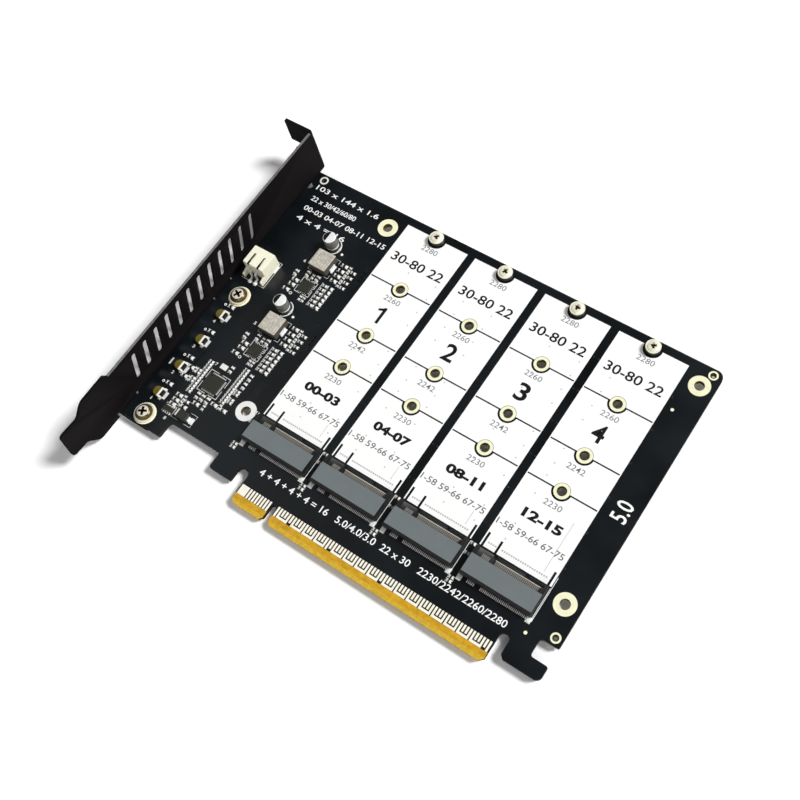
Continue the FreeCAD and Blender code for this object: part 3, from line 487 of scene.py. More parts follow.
# Material name, colour (a setting or a display colour), roughness, metallic, variation, patch,
# grain and depth in millimetres, specular, and what else the finish has.
FINISHES = {
    "mask": ("Solder Mask", "mask", 0.3, 0.0, 0.5, 24.0, 0.9, 0.003, 0.45, {"spread": 0.06}),
    "relief": ("Mask over Copper", "191c1e", 0.3, 0.0, 0.15, 3.0, 0.9, 0.002, 0.5),
    "laminate": ("Bare Laminate", "laminate", 0.4, 0.0, 0.2, 1.4, 0.12, 0.005, 0.4),
    "bevel": ("Cut Laminate", "bevel", 0.45, 0.0, 0.16, 0.9, 0.1, 0.008, 0.4),
    "board_edge": ("Board Edge", "board_edge", 0.75, 0.0, 0.3, 0.6, 0.08, 0.02, 0.3),
    "plating": ("Gold Plating", "plating", 0.42, 0.04, 0.05, 2.0, 0.06, 0.0015, 0.6),
    "bright_ring": ("Tinned Ring", "f6f6f3", 0.4, 0.15, 0.04, 1.5, 0.08, 0.0015, 0.6),
    # Dark olive gold on the hole walls: the plating's tone, darkened as painted shade inside the
    # holes.
    "bore": ("Plated Bore Painted Shade", "5a4c1a", 0.6, 0.1, 0.15, 1.0, 0.08, 0.003, 0.5),
    "lead": ("Dull Lead", "ebebe8", 0.45, 0.15, 0.15, 0.5, 0.08, 0.003, 0.5),
    # Dark brown in the screws' cross recesses and the header's slits: painted shade.
    "recess": ("Painted Recess Shade", "2c2620", 0.5, 0.6, 0.15, 0.5, 0.08, 0.003, 0.5),
    "drive_screw": ("Pale Nickel", "f6f3dc", 0.34, 0.15, 0.06, 1.0, 0.06, 0.002, 0.6),
    "pad": ("Contact Plating", "contact", 0.4, 0.06, 0.06, 1.5, 0.08, 0.0015, 0.6),
    # Dull grey-brown on the springs in the socket mouth: the plating darkened as painted shade.
    "spring": ("Spring Plating Painted Shade", "817c73", 0.5, 0.1, 0.1, 0.6, 0.06, 0.001, 0.6),
    "rail": ("Socket Rail", "c8c6be", 0.5, 0.0, 0.1, 0.8, 0.08, 0.002, 0.4),
    "ink": ("White Ink", "ink", 0.55, 0.0, 0.012, 6.0, 0.12, 0.002, 0.4),
    "grey_ink": ("Grey Ink", "d2d3d1", 0.6, 0.0, 0.12, 0.7, 0.1, 0.002, 0.3),
    "code_ink": ("Pale Dark Ink", "7d8082", 0.6, 0.0, 0.12, 0.7, 0.1, 0.002, 0.3),
    "light_ink": ("Soft Dark Ink", "5c5d60", 0.6, 0.0, 0.12, 0.7, 0.1, 0.002, 0.3),
    "via": ("Ink over Via", "bfc0bf", 0.5, 0.0, 0.1, 0.5, 0.1, 0.002, 0.4),
    "coat": ("Bracket Coat", "coat", 0.7, 0.0, 0.12, 7.0, 0.09, 0.003, 0.03,
             {"spread": 0.1, "wear": 0.3, "worn": "34302f"}),
    # Light grey metal on the bracket's up-facing top edge: a painted highlight, the reflection that
    # edge catches.
    "sheared": ("Painted Edge Highlight", "8f8d8a", 0.5, 0.6, 0.25, 1.2, 0.08, 0.006, 0.5),
    # Dark olive on the slopes of the bracket screws' domes: the screws' brassy tint, darkened as
    # painted shade.
    "brass": ("Nickel Brass Painted Shade", "665736", 0.32, 0.6, 0.2, 1.5, 0.05, 0.002, 0.5),
    "tin": ("Tin Solder", "tin", 0.4, 0.22, 0.15, 0.5, 0.12, 0.008, 0.5, {"spread": 0.1}),
    "socket": ("Socket Moulding", "socket", 0.5, 0.0, 0.12, 2.0, 0.06, 0.003, 0.5,
               {"wear": 0.2, "worn": "343436"}),
    "cover": ("Socket Cover", "cover", 0.55, 0.0, 0.03, 5.0, 0.08, 0.002, 0.4),
    "header": ("Header Moulding", "header", 0.42, 0.0, 0.04, 2.5, 0.1, 0.003, 0.5),
    "housing": ("Lamp Housing", "f4f1e6", 0.45, 0.0, 0.05, 0.8, 0.08, 0.003, 0.5),
    "ferrite": ("Ferrite", "ferrite", 0.62, 0.0, 0.6, 0.6, 0.14, 0.012, 0.4,
                {"wear": 0.7, "worn": "e0dcd2"}),
    # Dark brown on the inductors' side faces: painted shade.
    "ferrite_side": ("Ferrite Side Painted Shade", "443f38", 0.7, 0.0, 0.25, 0.5, 0.14, 0.012, 0.3,
                     {"wear": 0.3, "worn": "857f75"}),
    # Pale bright nickel on the bracket screws' flange edges and crowns: a painted highlight.
    "rim": ("Nickel Painted Highlight", "f6efdb", 0.3, 0.3, 0.08, 0.8, 0.05, 0.002, 0.6),
    # Near-black nickel on the drive standoffs: painted shade under the screw heads.
    "shaded_post": ("Standoff Nickel Painted Shade", "3d3b35", 0.4, 0.6, 0.15, 0.8, 0.06, 0.002, 0.5),
    "chip": ("Chip Moulding", "2a2a23", 0.5, 0.0, 0.1, 1.5, 0.07, 0.005, 0.5,
             {"wear": 0.2, "worn": "40403c"}),
    "ceramic": ("Ceramic", "453f34", 0.45, 0.0, 0.15, 0.5, 0.05, 0.003, 0.5),
    "resistor": ("Resistor Glaze", "101011", 0.3, 0.0, 0.1, 0.4, 0.05, 0.002, 0.5),
    "can": ("Brushed Can", "f6f6f4", 0.4, 0.15, 0.04, 2.0, 0.05, 0.002, 0.5),
    # Mid grey on the cans' sides: painted shade.
    "can_side": ("Can Side Painted Shade", "93928c", 0.34, 0.5, 0.12, 1.5, 0.05, 0.002, 0.5),
    "dark_ink": ("Dark Ink", "0e0e10", 0.55, 0.0, 0.1, 1.0, 0.08, 0.002, 0.3),
    "lens": ("Lamp Lens", "lens", 0.22, 0.0, 0.25, 0.9, 0.3, 0.004, 0.5, {"coat": 0.5}),
}


def finish(key):
    """The procedural material of a finish, made once."""
    name, tint, roughness, metallic, variation, patch, grain, depth, specular, *more = FINISHES[key]
    if name in bpy.data.materials:
        return bpy.data.materials[name]
    more = dict(*more)
    colours = bpy.context.scene.card_colours
    colour = getattr(colours, tint) if hasattr(colours, tint) else linear(tint)
    material = bpy.data.materials.new(name)
    tree = fresh_tree(material)
    shader = place_node(tree, "BsdfPrincipled", Metallic=metallic, IOR=IOR,
                        Specular_IOR_Level=specular, Coat_Weight=more.get("coat", 0.0),
                        Coat_Roughness=COAT_ROUGHNESS)
    surface = place_node(tree, "Group", label=name)
    surface.node_tree = surface_group()
    for entry, value in (("Color", (*colour, 1)), ("Variation", variation), ("Patch Size", patch),
                         ("Roughness", roughness), ("Roughness Spread", more.get("spread", 0.05)),
                         ("Grain Size", grain), ("Grain Depth", depth),
                         ("Wear", more.get("wear", 0.0)),
                         ("Worn Color", (*linear(more.get("worn", "cbcbcb")), 1))):
        surface.inputs[entry].default_value = value
    output = place_node(tree, "OutputMaterial")
    wire(tree, (surface, "Color", shader, "Base Color"), (shader, 0, output, "Surface"),
         *((surface, entry, shader, entry) for entry in ("Roughness", "Normal")))
    return material


# ---------------------------------------------------------------- board
class CARD_OT_board(bpy.types.Operator):
    """Board with glossy black mask, bare laminate at the tongue and plated hole walls darkened as
    painted shade
    """
    bl_idname = "card.board"
    bl_label = "Board"

    def execute(self, context):
        board = merged("circuit_board")
        bmesh.ops.bisect_plane(board, geom=board.verts[:] + board.edges[:] + board.faces[:],
                               dist=1e-5, plane_co=(0, LAMINATE_TOP, 0), plane_no=(0, 1, 0))
        mask, laminate, side, bore, bevel = range(5)
        for face in board.faces:
            centre, normal = face.calc_center_median(), face.normal
            if abs(normal.z) > 0.99:
                face.material_index = laminate if centre.y < LAMINATE_TOP else mask
            elif abs(normal.z) > 0.05:
                face.material_index = bevel
            # Hole walls take the dark plated finish: their gold tone, darkened as painted shade.
            elif any(math.hypot(centre.x - x, centre.y - y) < radius + 0.15
                     for x, y, radius, _ in HOLES):
                face.material_index = bore
            else:
                face.material_index = side
        finished(board, "board_body", "mask laminate board_edge bore bevel", "board_black",
                 "circuit_board")
        return {"FINISHED"}


def ribbon(part, points, width, level, height):
    """A raised flat line through points, mitred at its turns."""
    left, right = [], []
    count = len(points)
    for i, (x, y) in enumerate(points):
        before = Vector(points[max(i - 1, 0)])
        after = Vector(points[min(i + 1, count - 1)])
        here = Vector((x, y))
        first = (here - before).normalized() if i else (after - here).normalized()
        last = (after - here).normalized() if i < count - 1 else first
        along = (first + last).normalized()
        reach = width / 2 / max(along.dot(first), 0.4)
        side = Vector((-along.y, along.x)) * reach
        left.append(tuple(here + side))
        right.append(tuple(here - side))
    add(part, flat([left + right[::-1]], height), at(0, 0, level))


class CARD_OT_traces(bpy.types.Operator):
    """Copper lines and tented vias that show as relief under the mask, on both faces"""
    bl_idname = "card.traces"
    bl_label = "Traces"

    def execute(self, context):
        high = context.scene.card_sizes.trace_height / MM
        lines, dots = bmesh.new(), bmesh.new()

        def via(place, radius=0.3, top=0.24):
            add(dots, disc(radius, high * VIA_RISE, 12, top), place)

        first_contact, first_tail, strip, via_row, via_pitch = 2.0, -7.6, 11.75, 32.0, 11.5
        for lane, centre in enumerate(LANES):  # wire pairs from the contacts to the socket's tails
            for pair in range(4):
                start = first_contact + PAIR_PITCH * (lane * 4 + pair)
                tail = centre + first_tail + TAIL_PITCH * pair
                bend = 8.6 + 0.25 * pair
                for shift in (0.0, WIRE_PITCH):
                    low, end = start + shift, tail + shift
                    ribbon(lines, [(low, 6.3), (low, 7.0), ((low + end) / 2, bend),
                                   (end, bend + 1.6), (end, 12.2)], 0.17, BACK - high, high)
                via(on_back(start + WIRE_PITCH / 2, 7.6))
                via(on_back(tail + WIRE_PITCH / 2, 12.9))
            for row in range(6):
                for x in (centre - strip, centre + strip):
                    via(on_face(x, via_row + via_pitch * row))
                    via(on_back(x, via_row + via_pitch * row))
        for step in range(5):  # both sides of the clock chip
            y, bend = 21.5 + 1.1 * step, -27.2 + 0.5 * step
            for points in ([(-42.5, y), (-47.0, y), (-48.4, y + 1.4 + step), (-48.4, 31.0 + step)],
                           [(-35.6, y), (bend - 2.6, y), (bend, y + 2.6), (bend, 34.0)]):
                ribbon(lines, points, 0.16, FACE, high)
        for shift in REGULATORS:  # feeders, power runs and heat vias
            for step in range(4):
                y, x = 47.9 + 1.5 * step + shift, -31.0 + 0.9 * step
                ribbon(lines, [(-24.4, y), (-23.2, y), (-22.0, y + 1.2), (-22.0, y + 3.5)], 0.3,
                       FACE, high)
                ribbon(lines, [(x, 44.0 + shift), (x, 49.0 + shift), (x + 3.0, 52.0 + shift)], 0.4,
                       BACK - high, high)
                for row in range(4):
                    via(on_back(-36.5 + step, 39.5 + row + shift), 0.26, 0.2)
        for x, y in ((-44.0, 34.5), (-42.2, 34.5), (-47.9, 40.2), (-45.2, 47.0), (-45.2, 49.2),
                     (-43.0, 52.5), (-23.6, 40.0), (-23.6, 57.5), (-28.6, 58.6), (-44.8, 62.0),
                     (-43.2, 76.6), (-23.8, 78.0), (-55.6, 71.0), (-46.0, 79.5)):
            for place in (on_face(x, y), on_back(x, y)):
                via(place, 0.33, 0.26)
        finished(lines, "copper_lines", "relief", "board_black")
        finished(dots, "tented_vias", "relief", "board_black")
        return {"FINISHED"}


class CARD_OT_plating(bpy.types.Operator):
    """Plated rings on both faces, test dots and the gold edge contacts"""
    bl_idname = "card.plating"
    bl_label = "Plating"

    def execute(self, context):
        s = context.scene.card_sizes
        high, land, thread, shank = s.plating_height / MM, 3.5, 1.6, 1.75
        rings = bmesh.new()
        for x, y, bore, size in HOLES:
            tinned = (x, y) in (COOLER_HOLES[0], TOOLING_HOLES[0])
            inner = bore + 0.3 if size == "tooling_ring" else bore
            for place, index in ((on_face(x, y), int(tinned)), (on_back(x, y), 0)):
                add(rings, ring(getattr(s, size) / MM, inner, high), place, index)
        for y in BRACKET_SCREW_Y:
            add(rings, ring(land, thread, high), on_face(SCREW_X, y))
        for x in LANES:
            add(rings, ring(s.drive_ring / MM + 0.35, shank, high), on_back(x, SCREW_Y))
        for x, y in TEST_DOTS:
            add(rings, disc(0.5, high, 20), on_face(x, y))
        finished(rings, "plated_rings", "plating bright_ring", "contact_gold")
        for name in ("edge_contacts_front", "edge_contacts_back"):
            dress(name, "pad")
        return {"FINISHED"}


# ---------------------------------------------------------------- print
def lane_print(centre, s, last):
    """White lane with its dark lines and half rings, as one flat outline with openings."""
    left, right = centre - LANE_LEFT, centre + (LAST_LANE_RIGHT if last else LANE_RIGHT)
    half, near, far = s.lane_line / MM / 2, s.drive_ring / MM + 0.12, s.drive_ring / MM + 0.62
    # three dark bars rise from the foot, and a half ring dips into the head
    outline = [(left, LANE_FOOT)]
    for start, end, top in ((-10.75, -10.05, 30.2), (-6.5, -5.8, 29.7), (9.95, 10.65, 30.0)):
        outline += [(centre + start, LANE_FOOT), (centre + start, top), (centre + end, top),
                    (centre + end, LANE_FOOT)]
    dip = math.degrees(math.asin((LANE_HEAD - SCREW_Y) / far))
    outline += [(right, LANE_FOOT), (right, LANE_HEAD)]
    outline += arc((centre, SCREW_Y), far, dip, -180 - dip, 28) + [(left, LANE_HEAD)]
    openings = []
    for y in DRIVE_LENGTHS.values():
        top = math.degrees(math.asin(half / near))
        foot = math.degrees(math.asin(half / far))
        openings.append([(left + 0.3, y + half)] + arc((centre, y), near, 180 - top, top, 24)
                        + [(right - 0.3, y + half), (right - 0.3, y - half)]
                        + arc((centre, y), far, -foot, -180 + foot, 24)
                        + [(left + 0.3, y - half)])
    return flat([outline] + openings, s.ink_height / MM)


def figure_one(width, height, thickness):
    """A figure 1 with its flag."""
    stem = height * 0.17
    right = width * 0.72
    return flat([[(right - stem, 0), (right, 0), (right, height), (right - stem * 0.75, height),
                  (right - stem * 1.35, height * 0.9), (right - stem * 2.5, height * 0.82),
                  (right - stem * 2.5, height * 0.69), (right - stem, height * 0.77)]], thickness)


def frame_print(low, high, line, thickness, gap=0.0):
    """A printed frame; with a gap, only its four corners."""
    (x0, y0), (x1, y1) = low, high
    if not gap:
        return flat([rectangle(x0, y0, x1, y1),
                     rectangle(x0 + line, y0 + line, x1 - line, y1 - line)], thickness)
    corners = bmesh.new()
    reach_x, reach_y = (x1 - x0 - gap) / 2, (y1 - y0 - gap) / 2
    corner = [(0, 0), (reach_x, 0), (reach_x, line), (line, line), (line, reach_y), (0, reach_y)]
    for x, y, turn_x, turn_y in ((x0, y0, 1, 1), (x1, y0, -1, 1), (x1, y1, -1, -1),
                                 (x0, y1, 1, -1)):
        points = [(x + turn_x * a, y + turn_y * b) for a, b in corner]
        if turn_x * turn_y < 0:
            points.reverse()
        add(corners, flat([points], thickness))
    return corners


class CARD_OT_print(bpy.types.Operator):
    """White lanes, outlines and plain numbers printed on the board"""
    bl_idname = "card.print"
    bl_label = "Print"

    def execute(self, context):
        s = context.scene.card_sizes
        ink = s.ink_height / MM
        over = FACE + ink
        lanes, dark, pale = bmesh.new(), bmesh.new(), bmesh.new()
        code, fine, dot = range(3)
        drops = {30: 5.55, 42: 5.45, 60: 5.25, 80: 5.05}
        side_line, figures_y, wires_y, number_y, contacts_y = 11.33, 87.6, 38.5, 66.8, 33.3
        first_dash, dash_pitch, key_start, key_end = -9.4, 0.72, -6.9, -5.4
        for number, centre in enumerate(LANES, 1):
            last = number == len(LANES)
            wires = "%02d-%02d" % (4 * number - 4, 4 * number - 1)
            add(lanes, lane_print(centre, s, last), on_face(0, 0))
            for x in (centre - side_line, centre + side_line):
                add(lanes, pad(x, 20.55, 0.08, 5.05, ink))
            for length, y in {**DRIVE_LENGTHS, 80: SCREW_Y}.items():
                add(pale, lettering(f"22{length}", 1.8, 5.6, ink / 2, 0.002),
                    at(centre - 2.8, y - drops[length], over), code)
            figures = [("30-80 22", 3.2, 18.4, 0.012, 9.25, figures_y),
                       (wires, 2.9, 12.2, 0.045, 6.1, wires_y)]
            if number == 1:
                add(dark, figure_one(3.3, 5.8, ink / 2), at(centre - 1.8, number_y, over))
            else:
                figures.append((str(number), 5.8, 3.8, 0.02, 1.9, number_y))
            for text, height, width, weight, shift, y in figures:
                add(dark, lettering(text, height, width, ink / 2, weight),
                    at(centre - shift, y, over))
            add(pale, lettering("1-58 59-66 67-75", 1.9, 20.8, ink / 2, 0.004),
                at(centre - 10.7, contacts_y, over), fine)
            for dash in range(26):
                x = centre + first_dash + dash_pitch * dash
                if not key_start < x - centre < key_end:
                    add(pale, block((x, 27.35, over), (x + 0.5, 27.85, over + ink / 2)), None, dot)
            top = 44.0 if last else 33.0
            add(pale, block((centre + 7.4, 28.6, over), (centre + 7.56, top, over + ink / 2)), None,
                dot)
        for x in (-10.2 + 10.0 * step for step in range(8)):
            if any(abs(x - centre) < 10.9 for centre in LANES):
                for y in (30.8, 35.8, 45.8, 51.9, 56.0, 61.0, 71.0, 76.0, 81.0, 86.0):
                    add(pale, disc(0.24, ink / 2, 12, 0.2), at(x, y, over), dot)
        add(lanes, block((77.3, 15.5, FACE), (77.46, 29.0, over)))
        finished(lanes, "printed_lanes", "ink", "print_white")
        finished(dark, "lane_numbers", "dark_ink", "board_black")
        finished(pale, "lane_marks", "code_ink light_ink via", "print_white")
        return {"FINISHED"}


class CARD_OT_marks(bpy.types.Operator):
    """Plain figures and part outlines printed on the bare mask"""
    bl_idname = "card.marks"
    bl_label = "Marks"

    def execute(self, context):
        ink = context.scene.card_sizes.ink_height / MM
        marks = bmesh.new()
        white, grey = range(2)
        # words of figures: height, width, weight, left end, base line and turn
        for text, height, width, weight, x, y, turn in (
                ("103 x 144 x 1.6", 1.8, 24.3, 0.01, -54.3, 97.1, 0),
                ("22 x 30/42/60/80", 1.8, 17.3, 0.01, -53.3, 92.9, 0),
                ("00-03 04-07 08-11 12-15", 1.8, 31.5, 0.01, -53.3, 88.9, 0),
                ("4 x 4 = 16", 1.8, 18.8, 0.01, -53.3, 84.9, 0),
                ("4 + 4 + 4 + 4 = 16   5.0/4.0/3.0", 2.1, 40.2, 0.008, -9.9, TEXT_LINE_Y, 0),
                ("22 x 30   2230/2242/2260/2280", 2.1, 40.3, 0.008, 32.2, TEXT_LINE_Y, 0),
                ("5.0", 4.9, 6.0, 0.012, 84.9, 50.3, 90)):
            add(marks, lettering(text, height, width, ink, weight), on_face(x, y, turn), white)
        # part outlines: lowest and highest corner, line and gap between the corners
        frames = [((-55.05, 59.3), (-46.35, 69.2), 0.16, 0.0),
                  ((-43.7, 11.2), (-36.4, 15.2), 0.13, 2.4),
                  ((-47.6, 11.4), (-43.9, 14.4), 0.13, 1.8)]
        for x, y, half in ((-39.1, 25.85, 3.75), (-35.0, 41.0, 2.75), (-35.0, 66.3, 2.75)):
            frames.append(((x - half, y - half), (x + half, y + half), 0.2, half * 0.3))
        for low, high in solids("small_parts"):
            size = (high - low).xy
            side = Vector((0.5, 0.2) if size.x > size.y else (0.2, 0.5))
            frames.append((low.xy - side, high.xy + side, 0.14, min(size) * 0.8))
        low, high = node_box("inductor_1")
        for shift in REGULATORS:
            frames.append(((low.x - 0.75, low.y - 0.45 + shift),
                           (high.x + 0.75, high.y + 0.45 + shift), 0.13, 4.6))
            can = (-36.3, 57.0 + shift)
            add(marks, flat([arc(can, 2.85, -82, 82) + arc(can, 2.4, 82, -82)], ink),
                on_face(0, 0), white)
            add(marks, disc(0.42, ink, 16), on_face(-32.1, 55.9 + shift), white)
            add(marks, pad(-31.23, 40.45 + shift, 0.07, 4.45, ink), None, grey)
            add(marks, washer(0.5, 0.32, ink, 18), on_face(-38.0, 37.0 + shift), white)
        for low, high, line, gap in frames:
            add(marks, frame_print(low, high, line, ink, gap), on_face(0, 0), grey)
        for low, high in solids("status_led_bodies"):
            y = centre_of(low, high)[1] + 3.6
            add(marks, washer(0.42, 0.2, ink, 18), on_face(-53.2, y), white)
        add(marks, pad(-55.45, 25.45, 0.25, 1.15, ink), None, grey)
        for text, x, y in (("1", -53.0, 12.4), ("2", -53.0, 22.2), ("3", -53.0, 32.2),
                           ("4", -53.0, 42.1), ("5", -41.4, 47.9), ("6", -41.4, 73.2),
                           ("7", -43.0, 31.0), ("8", -45.4, 9.4)):
            add(marks, lettering(text, 1.1, 0.35 if text == "1" else 0.8, ink, 0.03), on_face(x, y),
                grey)
        finished(marks, "printed_marks", "ink grey_ink", "print_white")
        return {"FINISHED"}


# ---------------------------------------------------------------- bracket and screws
class CARD_OT_bracket(bpy.types.Operator):
    """Folded bracket with a satin black coat and a painted highlight along its up-facing top edge
    """
    bl_idname = "card.bracket"
    bl_label = "Bracket"

    def execute(self, context):
        sheet = merged("bracket")
        round_edges(sheet, context.scene.card_sizes.sheet_edge / MM, 50.0)
        # Up-facing faces along the top long edge take finish 1: a painted highlight.
        for face in sheet.faces:
            centre = face.calc_center_median()
            along = HIGHLIGHT_EDGE_Y[0] < centre.y < HIGHLIGHT_EDGE_Y[1]
            if face.normal.z > 0.6 and centre.z > HIGHLIGHT_EDGE_Z and along:
                face.material_index = 1
        finished(sheet, "bracket_sheet", "coat sheared", "bracket_black", "bracket")
        return {"FINISHED"}


def screw_head(radius, height, arm_share):
    """Crowned head on a flange, base at Z = 0: the cross recess in finish 1, painted shade; the
    flange's edge and the crown in finish 2, a painted highlight where that finish is bright.
    """
    reach, width = radius * RECESS_SHARE, radius * arm_share
    head = turned([(radius * out, height * up) for out, up in (  # flange, groove and dome
        (0, 0), (0.97, 0), (1, 0.1), (1, 0.32), (0.96, 0.42), (0.87, 0.44), (0.84, 0.4),
        (0.81, 0.5), (0.73, 0.74), (0.58, 0.92), (0.38, 1), (0, 1))], 40)
    depth = height * 0.7
    for turn in (0, 90):
        arm = block((-reach, -width / 2, -depth), (reach, width / 2, depth))
        for vert in arm.verts:
            if vert.co.z < 0:
                vert.co.x *= 0.45
                vert.co.y *= 0.8
        bmesh.ops.transform(arm, matrix=at(0, 0, height, turn), verts=arm.verts)
        head = cut(head, arm)
    # Faces inside the cross recess take finish 1, a painted shade; the flange's edge and the crown
    # take finish 2, a painted highlight where that finish is bright.
    for face in head.faces:
        centre = face.calc_center_median()
        away = math.hypot(centre.x, centre.y)
        inside = away < reach and centre.z > height * 0.2
        if inside and (face.normal.z < 0.4 or centre.z < height * 0.7):
            face.material_index = 1
        elif away > radius * 0.86 or centre.z > height * 0.9:
            face.material_index = 2
    return head


def threaded_end(radius, length, pitch):
    """Threaded shank from Z = 0 downwards, with a chamfered tip."""
    profile = [(0, 0), (radius, 0)]
    for n in range(int((length - pitch) / pitch)):
        profile += [(radius, -pitch * (n + 0.15)), (radius * 0.84, -pitch * (n + 0.5)),
                    (radius, -pitch * (n + 0.85))]
    profile += [(radius * 0.9, -length + pitch * 0.3), (radius * 0.7, -length), (0, -length)]
    return turned(profile, 28)


class CARD_OT_screws(bpy.types.Operator):
    """Cross-recess screws of the bracket and of the drives, on their standoffs"""
    bl_idname = "card.screws"
    bl_label = "Screws"

    def execute(self, context):
        low, high = node_box("bracket_screws")
        radius = (high.x - low.x) / 2
        large = bmesh.new()
        for number, y in enumerate(BRACKET_SCREW_Y):
            turn = 28 + 34 * number
            add(large, screw_head(radius, high.z - FACE, 0.27), on_face(SCREW_X, y, turn))
            add(large, threaded_end(1.4, FACE - low.z, 0.5), at(SCREW_X, y, FACE + 0.01))
        # Bracket screws: dark dome slopes and a dark recess as painted shade, a bright flange edge
        # and crown as painted highlight.
        finished(large, "bracket_screw_set", "brass recess rim", "screw_steel", "bracket_screws")
        low, high = node_box("drive_screws")
        seat = node_box("drive_standoffs")[1].z
        radius = (high.y - low.y) / 2
        small, posts = bmesh.new(), bmesh.new()
        for number, x in enumerate(LANES):
            add(small, screw_head(radius, high.z - seat, 0.34),
                at(x, SCREW_Y, seat, 40 + 25 * number))
            add(small, threaded_end(0.92, seat - low.z, 0.35), at(x, SCREW_Y, seat + 0.01))
            add(posts, turned([(1.0, BACK), (1.12, BACK - 0.02), (1.62, BACK - 0.02), (1.7, BACK),
                               (1.7, FACE), (2.24, FACE), (2.3, FACE + 0.06),
                               (2.3, FACE + 0.55), (2.18, FACE + 0.64), (2.18, FACE + 0.86),
                               (2.3, FACE + 0.95), (2.3, seat - 0.06), (2.24, seat), (1.0, seat)],
                              40), at(x, SCREW_Y, 0))
        # Drive screws: the dark cross recess is painted shade.
        finished(small, "drive_screw_set", "drive_screw recess drive_screw", "screw_steel",
                 "drive_screws")
        # The standoffs' dark nickel is painted shade.
        finished(posts, "standoff_set", "shaded_post", "standoff_steel", "drive_standoffs")
        return {"FINISHED"}


# ---------------------------------------------------------------- sockets and fan header
class CARD_OT_sockets(bpy.types.Operator):
    """Drive sockets with grey covers, contact springs in the mouth and solder tails"""
    bl_idname = "card.sockets"
    bl_label = "Drive sockets"

    def execute(self, context):
        leads, tabs = bmesh.new(), bmesh.new()
        solder, spring, tail, rail = range(4)
        lean = Matrix.Rotation(math.radians(-4.1), 3, "X")
        mouth_y, mouth_level, rail_level, rail_slope = 23.32, 1.29, 1.35, 0.071
        for number, centre in enumerate(LANES, 1):
            softened(f"drive_socket_{number}", f"socket_body_{number}", "socket",
                     "socket_black", context.scene.card_sizes.moulding_edge / MM, 60.0, 1)
            finished(block(*node_box(f"socket_cover_{number}"), 0.07), f"socket_plate_{number}",
                     "cover", "socket_grey", f"socket_cover_{number}")
            for low, high in solids(f"socket_contacts_{number}"):
                (x, y), half = centre_of(low, high), (high.x - low.x) / 2
                # The mouth's springs take a dull grey-brown: the plating darkened as painted shade
                # inside the mouth.
                leaf = block((-0.17, -0.72, -0.02), (0.17, 0.72, 0.05), 0.02, 1)
                bmesh.ops.rotate(leaf, cent=(0, 0, 0), verts=leaf.verts, matrix=lean)
                add(leads, leaf, at(x, mouth_y, FACE + mouth_level), spring)
                add(leads, block((-half, -0.35, 0), (half, 0.36, high.z - FACE), 0.05, 1),
                    on_face(x, y), tail)
                add(leads, pad(x, y - 0.4, half * 1.2, 0.2, 0.05, 0.02), None, solder)
            for y, start, end in ((22.66, -9.0, 10.0), (24.18, -4.6, 10.0)):
                bar = block((centre + start, y - 0.11, 0), (centre + end, y + 0.11, 0.09), 0.03, 1)
                add(leads, bar, at(0, 0, FACE + rail_level - (y - 22.5) * rail_slope), rail)
        finished(leads, "socket_leads", "tin spring lead rail", "solder_tin",
                 *[f"socket_contacts_{n}" for n in range(1, 5)])
        for low, high in solids("socket_tabs"):
            centre, half = (low + high) / 2, (high - low) / 2
            add(tabs, pad(centre.x, centre.y, half.x, half.y, high.z - low.z, 0.06, 2))
            add(tabs, pad(centre.x, centre.y, half.x + 0.2, half.y + 0.2, 0.05, 0.02))
        finished(tabs, "socket_feet", "tin", "solder_tin", "socket_tabs")
        return {"FINISHED"}


class CARD_OT_fan_header(bpy.types.Operator):
    """Cream side-entry fan header and its bent pins"""
    bl_idname = "card.fan_header"
    bl_label = "Fan header"

    def execute(self, context):
        shell, feet = merged("fan_header"), bmesh.new()
        low, high = node_box("fan_header")
        for face in shell.faces:
            centre = face.calc_center_median()
            # Faces in the roof's two slits take the dark recess finish: painted shade.
            sunk = 0.1 < high.z - centre.z < 1.3 and SLIT_Y[0] < centre.y < SLIT_Y[1]
            if sunk and abs(abs(centre.x - HEADER_X) - SLIT_REACH) < 0.5:
                face.material_index = 1
        round_edges(shell, context.scene.card_sizes.moulding_edge / MM, 60.0)
        finished(shell, "header_shell", "header recess", "header_cream", "fan_header")
        for x in (low.x - 0.05, high.x + 0.05):
            add(feet, pad(x, high.y - 2.0, 0.42, 1.3, 0.12, 0.05, 2))
        dress("fan_header_pins", "tin")
        low, high = node_box("fan_header_pins")
        for x in (low.x + 0.25, high.x - 0.25):
            add(feet, turned([(0, 0), (0.75, 0), (0.62, 0.16), (0.4, 0.34), (0.3, 0.46), (0, 0.46)],
                             24), on_face(x, low.y + 0.45))
        finished(feet, "header_solder", "tin", "solder_tin")
        return {"FINISHED"}


